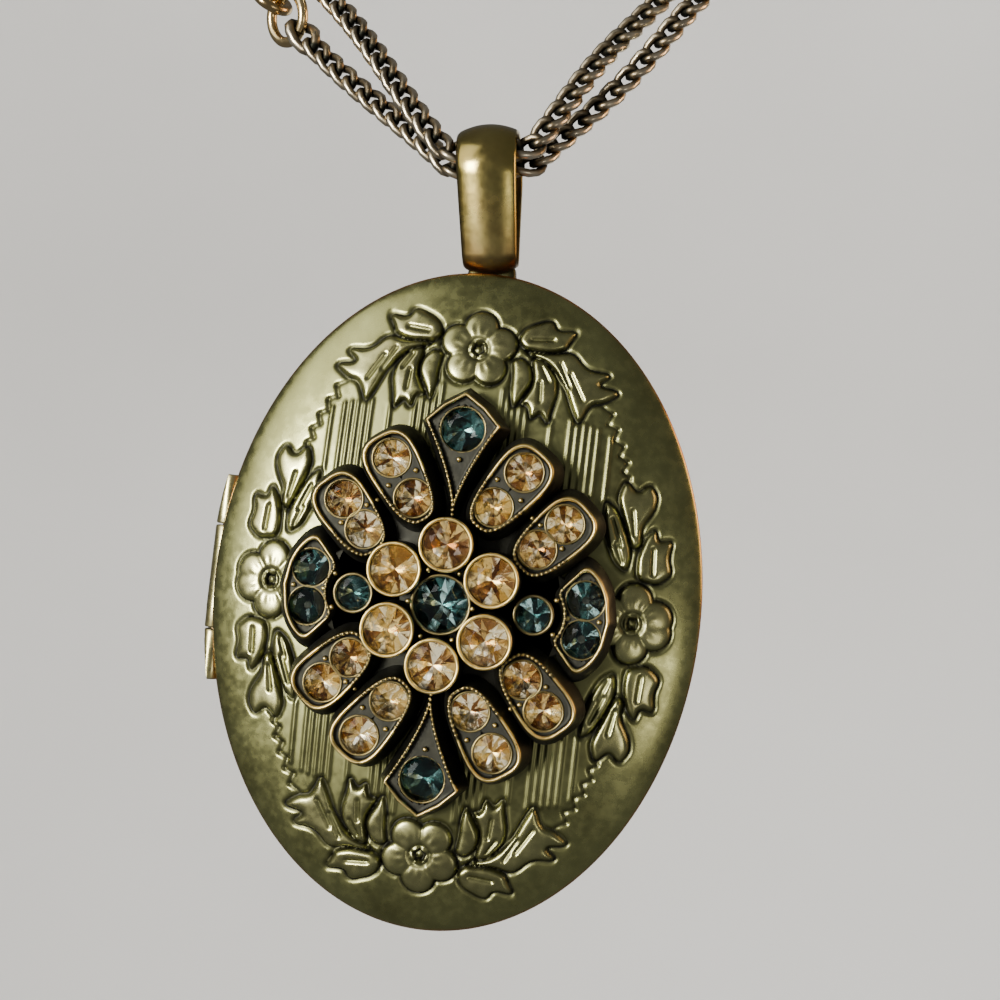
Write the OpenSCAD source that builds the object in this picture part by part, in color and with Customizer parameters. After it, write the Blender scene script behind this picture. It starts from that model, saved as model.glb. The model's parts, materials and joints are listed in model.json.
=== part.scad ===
// Oval locket in antique brass on a long curb chain, in millimetres.
// The chain is wound twice and passes twice through the bail. The origin is
// the nape, the top of the chain's loop, and the locket faces -Y.
// Shapes are drawn about the centre of the oval and then moved to the origin.

/* [Locket] */
// Width of the oval
oval_w = 33.6; // [32:0.2:35]
// Height of the oval
oval_h = 45; // [44:0.5:48]
// Height of the straight rim of each half
rim_h = 0.8; // [0.7:0.05:1]
// Rise of each half's dome above its rim
dome_rise = 2.8; // [2.6:0.1:3]
// Thickness of the stamped sheet
sheet_t = 0.6; // [0.4:0.05:0.7]
// Gap between the closed halves
seam_gap = 0.1; // [0.06:0.02:0.2]
// Height of the stamped wreath above the dome
relief_h = 0.32; // [0.1:0.02:0.4]

/* [Hinge] */
// Radius of the knuckles
knuckle_r = 0.75; // [0.65:0.05:0.8]
// Radius of the hinge pin
pin_r = 0.3; // [0.2:0.05:0.35]
// Radial clearance of the pin
pin_clear = 0.04; // [0.02:0.01:0.1]
// Length of the lid's middle knuckle
middle_knuckle = 7.2; // [6:0.2:8]
// Length of the whole hinge
hinge_len = 14.4; // [13:0.2:15]

/* [Bail] */
// Width of the bail's band
bail_w = 4.2; // [3.6:0.1:4.2]
// Thickness of the bail's band
bail_t = 0.7; // [0.6:0.05:0.9]
// Inner radius of the bail's round top
bail_r = 2.55; // [2.5:0.05:2.7]
// Inner radius of the bail's narrow foot
bail_foot_r = 0.9; // [0.7:0.1:1.2]
// Height of the bail's top above the locket
bail_h = 10.5; // [10:0.1:11.5]

/* [Medallion] */
// Height of the medallion's back above the parting plane
medallion_back = 3.75; // [3.75:0.05:4]
// Thickness of the medallion's base
medallion_base = 0.65; // [0.5:0.05:0.8]
// Depth of the dished petals inside their rims
dish = 0.35; // [0.2:0.05:0.4]
// Width of the raised rim of a petal
petal_rim = 0.32; // [0.2:0.02:0.4]
// Wall of a round stone setting
collet_wall = 0.24; // [0.2:0.02:0.3]

/* [Chain] */
// Length of the whole chain
chain_len = 762; // [700:2:800]
// Width of the curb chain
chain_d = 1.8; // [1.6:0.1:1.8]
// Slope of the loop from the bail to the nape
loop_slope = 70; // [60:1:75]
// Lean of the loop and the bail to the left, as it is worn
loop_lean = 7; // [0:0.5:8]
// Half of the angle between the two legs of the loop
leg_angle = 38; // [34:0.5:42]

/* [Hidden] */
$fn = 48;
overlap = 0.05;
half_w = oval_w / 2;
half_h = oval_h / 2;
seam = seam_gap / 2;
dome_power = 0.65;
antique = [0.46, 0.43, 0.27];
bright_brass = [0.66, 0.56, 0.32];
dark_brass = [0.34, 0.29, 0.19];
gold = [0.80, 0.62, 0.34];
topaz = [0.90, 0.72, 0.48];
teal = [0.20, 0.42, 0.50];

// Distance of the two side stones, and of the fans' middle, from the centre.
side_x = 5.89;

// Stones: name, colour, diameter, height of the stone's middle above the
// parting plane, wall of its own collet or 0, and the places of its centres.
function both_x(p) = [p, [-p[0], p[1]]];
function both_z(p) = [p, [p[0], -p[1]]];
function all_four(p) = [p, [-p[0], p[1]], [p[0], -p[1]], [-p[0], -p[1]]];
STONE_SETS = [
    ["centre_stone", teal, 3.5, 6.54, collet_wall, [[0, 0]]],
    ["bezel_stone", topaz, 3.05, 7.33, collet_wall, concat(both_z([0, 3.84]), all_four([3.12, 1.93]))],
    ["petal_a_stone", topaz, 2.35, 6.15, 0, concat(all_four([2.62, 6.54]), all_four([4.32, 8.97]))],
    ["petal_b_stone", topaz, 2.35, 5.66, 0, concat(all_four([5.66, 4.18]), all_four([7.23, 6.0]))],
    ["kite_stone", teal, 2.8, 5.7, 0, both_z([0, 11.31])],
    ["fan_stone", teal, 2.4, 4.77, 0, all_four([9.08, 1.26])],
    ["side_stone", teal, 2.2, 5.61, collet_wall, both_x([side_x, 0])]
];
STONES = [
    for (set = STONE_SETS)
        for (i = [0 : len(set[5]) - 1])
            [str(set[0], "_", i + 1), set[1], set[2], set[3], set[4], set[5][i]]
];

// Proportions of a cut stone, as shares of its diameter.
table_share = 0.56;
star_share = 0.77;
girdle_share = 0.03;
crown_share = 0.16;
pavilion_share = 0.36;
star_drop = 0.42;
lower_share = 0.75;
lower_reach = 0.25;
stone_sink = 0.12;
stone_gap = 0.04;

// Heights of the medallion's raised parts above the parting plane.
petal_a_top = 6.25;
petal_b_top = 5.75;
kite_top = 5.85;
fan_top = 4.95;

// Loop of the chain, in its own plane: s to the side and p up the slope.
run_half = bail_w / 2 + 0.1;
bend_r = 1.3;
bend_angle = 90 - leg_angle;
bend_len = bend_r * bend_angle * PI / 180;
bend_s = run_half + bend_r * sin(bend_angle);
bend_p = bend_r * (1 - cos(bend_angle));
turn_len = chain_len / 2;
loop_turn = 2 / tan(leg_angle) + PI + leg_angle * PI / 90;
loop_r = (turn_len - 2 * run_half - 2 * bend_len + 2 * bend_s / sin(leg_angle)) / loop_turn;
leg_len = (loop_r * cos(leg_angle) - bend_s) / sin(leg_angle);
loop_centre = bend_p + (loop_r - bend_s * cos(leg_angle)) / sin(leg_angle);
loop_top = loop_centre + loop_r;

// The bail swings about pivot_z. The chain rides a little above that line,
// and both lean about a point just inside the rim of the oval.
pivot_z = half_h + bail_h - bail_t - bail_r;
chain_lift = 0.95;
lean_z = half_h - 0.5;
foot_gap = 0.15;
foot_z = half_h + foot_gap + bail_t + bail_foot_r;
slope_out = loop_top * cos(loop_slope);
slope_up = loop_top * sin(loop_slope) + pivot_z + chain_lift - lean_z;
NAPE = [-slope_up * sin(loop_lean), slope_out, lean_z + slope_up * cos(loop_lean)];

// Height of the dome's outer face at a share of the oval, 0 in the middle.
function dome(q) = rim_h + dome_rise * pow(max(0, 1 - q * q), dome_power);

// Stamped wreath: raised petals and leaves, mirrored into all four quarters.
// A leaf is [root x, root z, tip x, tip z, half of its width].
LEAVES = [
    [2.6, 17.0, 6.6, 18.9, 1.0],
    [3.0, 16.4, 9.8, 15.1, 1.3],
    [3.6, 16.2, 7.3, 12.8, 0.9],
    [2.6, 16.0, 3.7, 13.2, 0.7],
    [11.6, 2.4, 12.6, 9.2, 1.0],
    [11.2, 2.6, 10.2, 8.6, 0.9],
    [12.8, 2.2, 14.4, 5.6, 0.8]
];
FLOWERS = [[0, 17.0], [12.3, 0]];
petal_reach = 1.55;
petal_r = 1.0;
button_r = 0.7;
function bump(d, r) = let (t = max(0, 1 - pow(d / r, 4))) sqrt(t);
function along_leaf(x, z, f) = let (
        dx = f[2] - f[0], dz = f[3] - f[1], n = sqrt(dx * dx + dz * dz),
        t = ((x - f[0]) * dx + (z - f[1]) * dz) / (n * n),
        d = abs((x - f[0]) * dz - (z - f[1]) * dx) / n,
        w = f[4] * pow(max(0, 1 - pow(abs(2 * t - 1), 2.5)), 0.6)
    ) w > 0.05 && d < w ? 0.8 * bump(d, w) : 0;
function flower(x, z, c) = let (
        dx = x - c[0], dz = z - c[1], r = sqrt(dx * dx + dz * dz),
        lobe = max([for (k = [0 : 4]) bump(sqrt(
            pow(dx - petal_reach * sin(72 * k), 2) + pow(dz - petal_reach * cos(72 * k), 2)), petal_r)])
    ) max(lobe, r < button_r ? bump(r, button_r) : 0);
function relief(x, z) = relief_h * max(concat(
        [for (f = LEAVES) along_leaf(abs(x), abs(z), f)],
        [for (c = FLOWERS) flower(abs(x), abs(z), c)]));

// Rings of a half: shares of the oval from the edge inwards.
LID_RINGS = concat([1, 0.985, 0.955], [for (k = [0 : 13]) 0.93 - 0.024 * k], [0.5, 0.35, 0.18]);
BACK_RINGS = [1, 0.985, 0.95, 0.88, 0.77, 0.6, 0.4, 0.2];
INNER_RINGS = [1, 0.94, 0.75, 0.4];

function ring_points(q, y, w, h, n, wreath) = [
    for (i = [0 : n - 1]) let (x = w * q * cos(360 * i / n), z = h * q * sin(360 * i / n))
        [x, y + (wreath ? relief(x, z) : 0), z]
];
inner_drop = 0.35;
function inner_dome(q) = rim_h - inner_drop
    + (dome_rise - sheet_t + inner_drop) * pow(max(0, 1 - q * q), dome_power);
function shell_points(rings, n, wreath) = let (
        iw = half_w - sheet_t, ih = half_h - sheet_t,
        outer = [for (q = rings) each ring_points(q, dome(q), half_w, half_h, n, wreath)],
        inner = [for (q = INNER_RINGS) each ring_points(q, inner_dome(q), iw, ih, n, false)]
    ) concat(
        [[0, dome(0), 0]],
        [for (k = [len(rings) - 1 : -1 : 0]) each [for (i = [0 : n - 1]) outer[k * n + i]]],
        ring_points(1, seam, half_w, half_h, n, false),
        ring_points(1, seam, iw, ih, n, false),
        inner,
        [[0, inner_dome(0), 0]]
    );
function tube_faces(rings, n) = concat(
    [for (i = [0 : n - 1]) [0, 1 + i, 1 + (i + 1) % n]],
    [for (k = [0 : rings - 2]) each [for (i = [0 : n - 1]) let (
        a = 1 + k * n + i, b = 1 + k * n + (i + 1) % n) each [[a, b + n, b], [a, a + n, b + n]]]],
    [for (i = [0 : n - 1]) let (last = 1 + rings * n) [last, last - n + (i + 1) % n, last - n + i]]
);

// One half of the locket with its hollow, its open side at the parting plane.
module shell(rings, n, wreath) {
    polyhedron(
        points = shell_points(rings, n, wreath),
        faces = tube_faces(len(rings) + 2 + len(INNER_RINGS), n),
        convexity = 6);
}

// Hinge: knuckles round a vertical pin on the left, rounded off to the oval.
hinge_x = -half_w + 0.15;
hinge_z = -0.4;
hinge_gap = 0.12;
outline_r = half_h * half_h / half_w + 0.7;
outline_x = -half_w - 0.7 + outline_r;
middle_low = hinge_z - middle_knuckle / 2;
middle_high = hinge_z + middle_knuckle / 2;
hinge_low = hinge_z - hinge_len / 2;
hinge_high = hinge_z + hinge_len / 2;

module rod(r, low, high) {
    translate([hinge_x, 0, low]) cylinder(r = r, h = high - low);
}
module knuckle(low, high) {
    difference() {
        intersection() {
            rod(knuckle_r, low, high);
            translate([outline_x, 0, 0]) rotate([90, 0, 0])
                cylinder(r = outline_r, h = 4 * knuckle_r, center = true, $fn = 360);
        }
        rod(pin_r + pin_clear, low - 1, high + 1);
    }
}
module knuckle_room(low, high) {
    rod(knuckle_r + hinge_gap, low - hinge_gap, high + hinge_gap);
}

// Leans a piece to the left, about a point just inside the rim of the oval.
module leaned() {
    translate([0, 0, lean_z]) rotate([0, -loop_lean, 0]) translate([0, 0, -lean_z]) children();
}

// Section of the bail's band as [across, out]: flat inside and crowned outside.
band_crown = 0.3;
band_steps = 3;
BAND = concat([[-bail_w / 2, 0]],
    [for (i = [-band_steps : band_steps])
        [bail_w / 2 * i / band_steps, bail_t - band_crown * pow(i / band_steps, 2)]],
    [[bail_w / 2, 0]]);

// Stations round the bail, as [inner radius, height of the arc's centre, angle]:
// a round top and a narrow foot, with two straight legs between them.
bow_steps = 20;
foot_steps = 8;
taper = asin((bail_r - bail_foot_r) / (pivot_z - foot_z));
BAIL_STATIONS = concat(
    [for (i = [0 : bow_steps]) [bail_r, pivot_z, -taper + (180 + 2 * taper) * i / bow_steps]],
    [for (i = [0 : foot_steps]) [bail_foot_r, foot_z, 180 + taper + (180 - 2 * taper) * i / foot_steps]]);

// Loop that the chain passes through.
module bail() {
    n = len(BAND);
    m = len(BAIL_STATIONS);
    polyhedron(
        points = [for (s = BAIL_STATIONS) for (b = BAND)
            [b[0], (s[0] + b[1]) * cos(s[2]), s[1] + (s[0] + b[1]) * sin(s[2])]],
        faces = [for (i = [0 : m - 1]) let (j = (i + 1) % m) for (k = [0 : n - 1]) let (l = (k + 1) % n)
            [i * n + k, i * n + l, j * n + l, j * n + k]],
        convexity = 6);
}

// Soldered foot that joins the bail to the back half and clears the lid.
module bail_foot() {
    wide = 3.4;
    deep = 1.4;
    translate([-wide / 2, seam + foot_gap, half_h - sheet_t])
        cube([wide, deep, foot_gap + bail_t + sheet_t - overlap]);
}

module back_half() {
    color(antique) {
        difference() {
            shell(BACK_RINGS, 64, false);
            knuckle_room(middle_low, middle_high);
            rod(pin_r + pin_clear, hinge_low - 1, hinge_high + 1);
        }
        knuckle(hinge_low, middle_low - hinge_gap);
        knuckle(middle_high + hinge_gap, hinge_high);
        leaned() {
            bail();
            bail_foot();
        }
    }
}

module hinge_pin() {
    color(bright_brass) rod(pin_r, hinge_low + 1.6, hinge_high - 1.6);
}

module lid() {
    color(antique) {
        difference() {
            mirror([0, 1, 0]) shell(LID_RINGS, 144, true);
            knuckle_room(hinge_low, middle_low - hinge_gap);
            knuckle_room(middle_high + hinge_gap, hinge_high);
            rod(pin_r + pin_clear, hinge_low - 1, hinge_high + 1);
        }
        knuckle(middle_low, middle_high);
    }
}

// Upright solid on the front of the locket, from one height to another.
module raised(low, high) {
    rotate([90, 0, 0]) translate([0, 0, low]) linear_extrude(height = high - low) children();
}

// Petal outline: a wedge with rounded ends, its middle at the origin and its
// outer end along +y. trim takes an even margin off all round.
module petal_outline(len, inner, outer, trim) {
    steps = 12;
    half = len / 2 - trim;
    edge = [for (i = [0 : steps]) let (t = -cos(180 * i / steps))
        [((inner + outer) / 2 + (outer - inner) / 2 * t - trim) * pow(1 - pow(abs(t), 4), 0.25), half * t]];
    polygon(concat(edge, [for (i = [steps - 1 : -1 : 1]) [-edge[i][0], edge[i][1]]]));
}
module kite_outline(trim) {
    tail = 5.6;
    shoulder = 11.7;
    tip = 13.7;
    wide = 2.45;
    foot = tail + 1.6 * trim;
    steps = 6;
    low = [for (i = [0 : steps]) let (t = i / steps)
        [max(0, wide * pow(t, 1.5) - trim * (0.4 + 0.6 * t)), foot + (shoulder - foot) * t]];
    crest = [(wide - trim) * 0.56, (shoulder + tip) / 2 + 0.12 - trim * 0.7];
    side = concat(low, [crest, [0, tip - trim]]);
    polygon(concat(side, [for (i = [len(side) - 2 : -1 : 1]) [-side[i][0], side[i][1]]]));
}
module fan_outline(trim) {
    inner_r = 1.9 + trim;
    outer_r = 4.85 - trim;
    spread = 50 - trim * 12;
    translate([side_x, 0]) polygon(concat(
        [for (a = [-spread : spread / 6 : spread]) [outer_r * cos(a), outer_r * sin(a)]],
        [for (a = [spread : -spread / 3 : -spread]) [inner_r * cos(a), inner_r * sin(a)]]));
}
// Petals of a quarter: middle, turn, length, and half widths at both ends.
PETAL_A = [[3.5, 7.72], -35, 6.3, 1.35, 2.0];
PETAL_B = [[6.6, 5.0], -42, 5.8, 1.5, 1.95];
module petal(p, trim) {
    translate(p[0]) rotate(p[1]) petal_outline(p[2], p[3], p[4], trim);
}
module dished(top) {
    difference() {
        raised(medallion_back, top) children(0);
        raised(top - dish, top + 1) children(1);
    }
}
module quarters() {
    for (mx = [0, 1])
        for (mz = [0, 1])
            mirror([mx, 0, 0]) mirror([0, 0, mz]) children();
}
function girdle_h(s) = s[3] - stone_sink * s[2];
module stone_pocket(s) {
    low = girdle_h(s) - pavilion_share * s[2] - 2 * stone_gap;
    translate([s[5][0], 0, s[5][1]]) raised(low, low + 6) circle(r = s[2] / 2 + stone_gap);
}

// One casting: base, petals, kites, fans and the round settings. A setting
// with its own collet stands a lip above the girdle of its stone.
base_r = 7.2;
side_base_r = 3;
seat_wall = 0.16;
collet_lip = 0.12;
module medallion() {
    color(dark_brass) difference() {
        union() {
            raised(medallion_back, medallion_back + medallion_base) {
                circle(r = base_r);
                for (p = both_x([side_x, 0])) translate(p) circle(r = side_base_r);
            }
            quarters() {
                dished(petal_a_top) { petal(PETAL_A, 0); petal(PETAL_A, petal_rim); }
                dished(petal_b_top) { petal(PETAL_B, 0); petal(PETAL_B, petal_rim); }
            }
            for (mz = [0, 1]) mirror([0, 0, mz])
                dished(kite_top) { kite_outline(0); kite_outline(petal_rim); }
            for (mx = [0, 1]) mirror([mx, 0, 0])
                dished(fan_top) { fan_outline(0); fan_outline(petal_rim); }
            for (s = STONES) translate([s[5][0], 0, s[5][1]])
                raised(medallion_back, girdle_h(s) + girdle_share * s[2] + (s[4] > 0 ? collet_lip : 0))
                    circle(r = s[2] / 2 + max(s[4], seat_wall));
        }
        for (s = STONES) stone_pocket(s);
    }
}

// Round cut stone: table, 8 stars, 8 kites and 16 girdle facets above, and
// 16 girdle facets and 8 mains below. Sizes are shares of the diameter.
module stone(s) {
    d = s[2];
    r = d / 2;
    crown = crown_share * d;
    pavilion = pavilion_share * d;
    belt = girdle_share * d;
    mid = crown * star_drop;
    lower = pavilion * lower_share;
    points = concat(
        [for (i = [0 : 7]) [r * table_share * cos(45 * i), r * table_share * sin(45 * i), belt + crown]],
        [for (i = [0 : 7])
            [r * star_share * cos(45 * i + 22.5), r * star_share * sin(45 * i + 22.5), belt + mid]],
        [for (i = [0 : 15]) [r * cos(22.5 * i), r * sin(22.5 * i), belt]],
        [for (i = [0 : 15]) [r * cos(22.5 * i), r * sin(22.5 * i), 0]],
        [for (i = [0 : 7])
            [r * lower_reach * cos(45 * i + 22.5), r * lower_reach * sin(45 * i + 22.5), -lower]],
        [[0, 0, -pavilion]]);
    top = [
        [for (i = [7 : -1 : 0]) i],
        for (i = [0 : 7]) let (j = (i + 1) % 8) each [
            [i, j, 8 + i],
            [8 + i, 16 + 2 * i + 1, 16 + 2 * i],
            [8 + i, 16 + (2 * i + 2) % 16, 16 + 2 * i + 1],
            [i, 8 + i, 16 + 2 * i],
            [j, 16 + (2 * i + 2) % 16, 8 + i]
        ]
    ];
    belt_faces = [for (i = [0 : 15]) let (j = (i + 1) % 16) each [
        [16 + i, 16 + j, 32 + j], [16 + i, 32 + j, 32 + i]]];
    bottom = [for (i = [0 : 7]) let (j = (i + 1) % 8, a = 32 + 2 * i, b = a + 1, c = 32 + 2 * j)
        each [[a, b, 48 + i], [b, c, 48 + i], [c, 48 + j, 48 + i], [48 + i, 48 + j, 56]]];
    color(s[1]) translate([s[5][0], -girdle_h(s), s[5][1]]) rotate([90, 0, 0])
        polyhedron(points = points, faces = concat(top, belt_faces, bottom), convexity = 2);
}

// Half of a turn of the chain at l from the bail: [s, p, heading].
function half_turn(l) =
    l < run_half ? [l, 0, 0]
    : l < run_half + bend_len ? let (a = (l - run_half) / bend_r * 180 / PI)
        [run_half + bend_r * sin(a), bend_r * (1 - cos(a)), a]
    : l < run_half + bend_len + leg_len ? let (m = l - run_half - bend_len)
        [bend_s + m * sin(leg_angle), bend_p + m * cos(leg_angle), bend_angle]
    : let (a = (l - run_half - bend_len - leg_len) / loop_r * 180 / PI)
        [loop_r * cos(a - leg_angle), loop_centre + loop_r * sin(a - leg_angle), bend_angle + a];

// The two turns lie side by side, part on the left leg, change places behind
// the neck and come together again in the bail. A turn starts to the left.
apart_bail = 1;
apart_left = 1.7;
apart_right = 1.25;
beside_bail = -6;
beside_left = 60;
beside_right = 280;
split_near = 1;
split_far = 20;
function smooth(t) = let (u = min(1, max(0, t))) u * u * (3 - 2 * u);
function mix(a, b, t) = a + (b - a) * t;
function split(l) = smooth((l - split_near) / (split_far - split_near));
function beside(l) = let (
        start = run_half + bend_len + leg_len,
        back = smooth((l - start) / (turn_len - 2 * start)),
        left = split(l), right = split(turn_len - l),
        a = mix(mix(beside_bail, beside_left, left), mix(180 + beside_bail, beside_right, right), back),
        r = mix(mix(apart_bail, apart_left, left), mix(apart_bail, apart_right, right), back)
    ) [r * cos(a), r * sin(a)];
function turn_point(l, side) = let (
        far = l > turn_len / 2, h = half_turn(far ? turn_len - l : l), m = far ? 1 : -1, b = beside(l))
    [m * (h[0] + side * b[1] * sin(h[2])), h[1] - side * b[1] * cos(h[2]), -side * b[0]];
function chain_point(l) = let (t = floor(l / turn_len + 0.0001))
    turn_point(l - t * turn_len, t % 2 == 0 ? 1 : -1);

// Places along the chain, from the clasp's far end round to the jump ring.
ring_at = 22.5;
ring_wire = 0.4;
ring_r = 1.8;
eye_r = 1.25;
link_gap = 0.05;
clasp_reach = 15.2;
clasp_end = ring_at + clasp_reach;
chain_start = clasp_end + 4 * link_gap;
chain_stop = 2 * turn_len + ring_at - ring_r - ring_wire - 2 * link_gap;
half_stations = concat(
    [0, run_half], [for (k = [1 : 2]) run_half + bend_len * k / 2],
    [for (k = [1 : 4]) split_far * k / 4],
    [run_half + bend_len + leg_len * 0.6],
    [for (k = [0 : 11]) run_half + bend_len + leg_len + loop_r * (90 + leg_angle) * PI / 180 * k / 11]);
turn_stations = concat(half_stations,
    [for (i = [len(half_stations) - 2 : -1 : 1]) turn_len - half_stations[i]]);
chain_stations = concat([chain_start],
    [for (t = [0 : 2]) for (l = turn_stations)
        if (l + t * turn_len > chain_start + 1 && l + t * turn_len < chain_stop - 0.5) l + t * turn_len],
    [chain_stop]);
chain_sides = 8;

function unit(v) = v / norm(v);
function chain_ring(l) = let (
        c = chain_point(l), d = unit(chain_point(l + 0.05) - chain_point(l - 0.05)),
        u = unit(cross([0, 0, 1], d)), v = cross(d, u))
    [for (i = [0 : chain_sides - 1]) let (a = 360 * (i + 0.5) / chain_sides)
        c + chain_d / 2 * (cos(a) * u + sin(a) * v)];

// Puts a piece that is drawn in the plane of the loop in its place.
module in_loop() {
    leaned() translate([0, 0, pivot_z + chain_lift]) rotate([loop_slope, 0, 0]) children();
}
module chain() {
    n = len(chain_stations);
    color(dark_brass) in_loop() polyhedron(
        points = concat([chain_point(chain_start)], [for (l = chain_stations) each chain_ring(l)],
            [chain_point(chain_stop)]),
        faces = tube_faces(n, chain_sides), convexity = 10);
}

// Draws along the left leg at l, with +x up the chain and +z off the loop.
module on_leg(l) {
    c = chain_point(l);
    d = unit(chain_point(l + 0.05) - chain_point(l - 0.05));
    in_loop() translate(c) rotate([0, 0, atan2(d[1], d[0])]) children();
}
ring_turn = -45;
eye_turn = 45;
eye_at = ring_at + ring_r + eye_r - 2 * ring_wire - link_gap;
clasp_r = 1.35;
clasp_low = 3.4;
neck_r = 0.55;
clasp_len = clasp_end - eye_at - clasp_low;
module wire_ring(r, wire) {
    rotate_extrude($fn = 48) translate([r, 0]) circle(r = wire, $fn = 24);
}
module jump_ring() {
    color(gold) on_leg(ring_at) rotate([ring_turn, 0, 0]) wire_ring(ring_r, ring_wire);
}

// The closed clasp as one plain piece: an eye, a neck and a round body.
module clasp() {
    color(gold) on_leg(eye_at) {
        rotate([eye_turn, 0, 0]) wire_ring(eye_r, ring_wire);
        translate([eye_r, 0, 0]) rotate([0, 90, 0]) cylinder(r = neck_r, h = clasp_low - eye_r + overlap);
        translate([clasp_low, 0, 0]) rotate([0, 90, 0]) rotate_extrude($fn = 48) polygon([
            [0, 0], [neck_r, 0], [1.1, 0.6], [clasp_r, 1.6],
            [clasp_r, clasp_len - 1.2], [1.15, clasp_len - 0.4], [0.9, clasp_len], [0, clasp_len]]);
    }
}

module hung() {
    translate(-NAPE) children();
}
hung() chain();
hung() jump_ring();
hung() clasp();
hung() back_half();
hung() hinge_pin();
hung() lid();
hung() medallion();
for (s = STONES)
    hung() stone(s);
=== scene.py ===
# %% [markdown]
# # An oval locket on a curb chain
# The real locket is two stamped brass shells on a hinge, with a cast and jewelled medallion on
# the front and a long curb chain through its bail. The solid model gives the sizes, the places
# and the bodies that move, so it is loaded first. This lesson dresses it.

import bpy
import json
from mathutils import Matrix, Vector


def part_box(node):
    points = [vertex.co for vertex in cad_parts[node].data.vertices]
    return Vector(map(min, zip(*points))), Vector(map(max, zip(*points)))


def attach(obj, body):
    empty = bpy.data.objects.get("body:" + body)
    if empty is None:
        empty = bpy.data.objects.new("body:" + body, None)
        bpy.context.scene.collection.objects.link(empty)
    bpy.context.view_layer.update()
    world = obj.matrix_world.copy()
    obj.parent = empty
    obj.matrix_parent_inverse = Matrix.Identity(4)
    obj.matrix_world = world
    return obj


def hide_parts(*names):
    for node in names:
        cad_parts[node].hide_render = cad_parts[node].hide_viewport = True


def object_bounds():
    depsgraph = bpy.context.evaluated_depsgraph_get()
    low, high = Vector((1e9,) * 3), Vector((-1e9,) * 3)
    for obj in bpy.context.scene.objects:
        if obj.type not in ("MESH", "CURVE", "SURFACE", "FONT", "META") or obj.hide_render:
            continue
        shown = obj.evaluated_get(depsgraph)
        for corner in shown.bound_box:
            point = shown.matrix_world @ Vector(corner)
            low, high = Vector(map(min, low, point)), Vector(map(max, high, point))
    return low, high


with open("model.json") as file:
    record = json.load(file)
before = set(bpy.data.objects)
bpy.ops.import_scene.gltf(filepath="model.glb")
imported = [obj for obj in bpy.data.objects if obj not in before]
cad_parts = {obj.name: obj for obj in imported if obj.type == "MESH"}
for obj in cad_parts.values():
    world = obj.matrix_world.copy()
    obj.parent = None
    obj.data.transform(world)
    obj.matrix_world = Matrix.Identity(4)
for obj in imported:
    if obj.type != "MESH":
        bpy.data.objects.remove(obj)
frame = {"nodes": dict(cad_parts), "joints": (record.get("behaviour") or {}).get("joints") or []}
CAD_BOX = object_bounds()
print("CAD box in metres:", [list(corner) for corner in CAD_BOX])

# %% [markdown]
# The shapes below are in millimetres from the middle of the locket: x to the right, z up and the
# front towards -y. Blender holds metres from the nape of the neck. One known point joins the
# two: the line that the bail swings about. It lies 29.75 mm above the middle in an upright bail,
# but bail and chain lean 7 degrees about a point at the rim.

# %% Millimetres from the middle of the locket
import json
import math

import bpy
import numpy as np
from mathutils import Matrix, Vector

MM = 0.001
PIVOT_UP, LEAN_UP, LEAN = 29.75, 22.0, math.radians(7)


def leaned(points):
    """Points turned to the left by the lean, about the point at LEAN_UP on the z axis."""
    x, y, z = np.moveaxis(np.asarray(points, float), -1, 0)
    c, s, z = math.cos(LEAN), math.sin(LEAN), z - LEAN_UP
    return np.stack([x * c - z * s, y, x * s + z * c + LEAN_UP], -1)


pivot = next(j["pos_m"] for j in frame["joints"] if j["name"] == "bail_swing")
MIDDLE = np.array(pivot) / MM - leaned((0, 0, PIVOT_UP))


def to_metres(points):
    """Points in millimetres from the middle of the locket, in metres from the nape."""
    return (np.asarray(points, float) + MIDDLE) * MM


def new_object(name, data):
    """An object with that data, linked into the scene."""
    made = bpy.data.objects.new(name, data)
    bpy.context.scene.collection.objects.link(made)
    return made


print("Middle of the locket in mm from the nape:", MIDDLE.round(2))

# %% [markdown]
# The photograph is a close view: the lens is under 8 cm from the locket, a little to the right of
# it, and the picture is rolled. So the camera is placed by a turn, a tilt and a roll about the
# middle of the locket, then moved back and aside.

# %% Camera
YAW, PITCH, ROLL = (math.radians(angle) for angle in (5.831, -1.006, 6.64))
BACK_OFF, ASIDE, LIFT = 79.155, -3.163, -6.845
LENS, SENSOR, NEAR, FAR = 41.275, 36.0, 0.002, 20

back = Vector((math.sin(YAW) * math.cos(PITCH), -math.cos(YAW) * math.cos(PITCH), math.sin(PITCH)))
level = Vector((math.cos(YAW), math.sin(YAW), 0))
upright = back.cross(level)
right = math.cos(ROLL) * level + math.sin(ROLL) * upright
up = -math.sin(ROLL) * level + math.cos(ROLL) * upright
eye = BACK_OFF * back - ASIDE * right - LIFT * up

camera = new_object("camera", bpy.data.cameras.new("camera"))
camera.data.lens, camera.data.sensor_width = LENS, SENSOR
camera.data.clip_start, camera.data.clip_end = NEAR, FAR
camera.matrix_world = Matrix.Translation(to_metres(eye)) @ Matrix((right, up, back)).transposed().to_4x4()
bpy.context.scene.camera = camera
print("Camera in mm from the middle:", [round(c, 2) for c in eye])

# %% [markdown]
# A piece here is a set of closed skins. Each is a grid of points: a row is one turn round the
# shape, and the rows follow one another along it. Neighbouring rows are joined by four-sided
# faces, and the two end rows are closed with a pole. The signed volume, a sixth of the sum of
# a . (b x c) over the triangles, tells whether the faces look outwards, so a mirrored skin is
# simply turned back.

# %% Skins from grids of points
def turns(count):
    """Equal angles once round a circle."""
    return 2 * np.pi * np.arange(count) / count


def circles(radii, around):
    """The two coordinates of circles about 0, a row for each radius."""
    radii = np.reshape(radii, (-1, 1))
    return radii * np.cos(turns(around)), radii * np.sin(turns(around))


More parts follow.
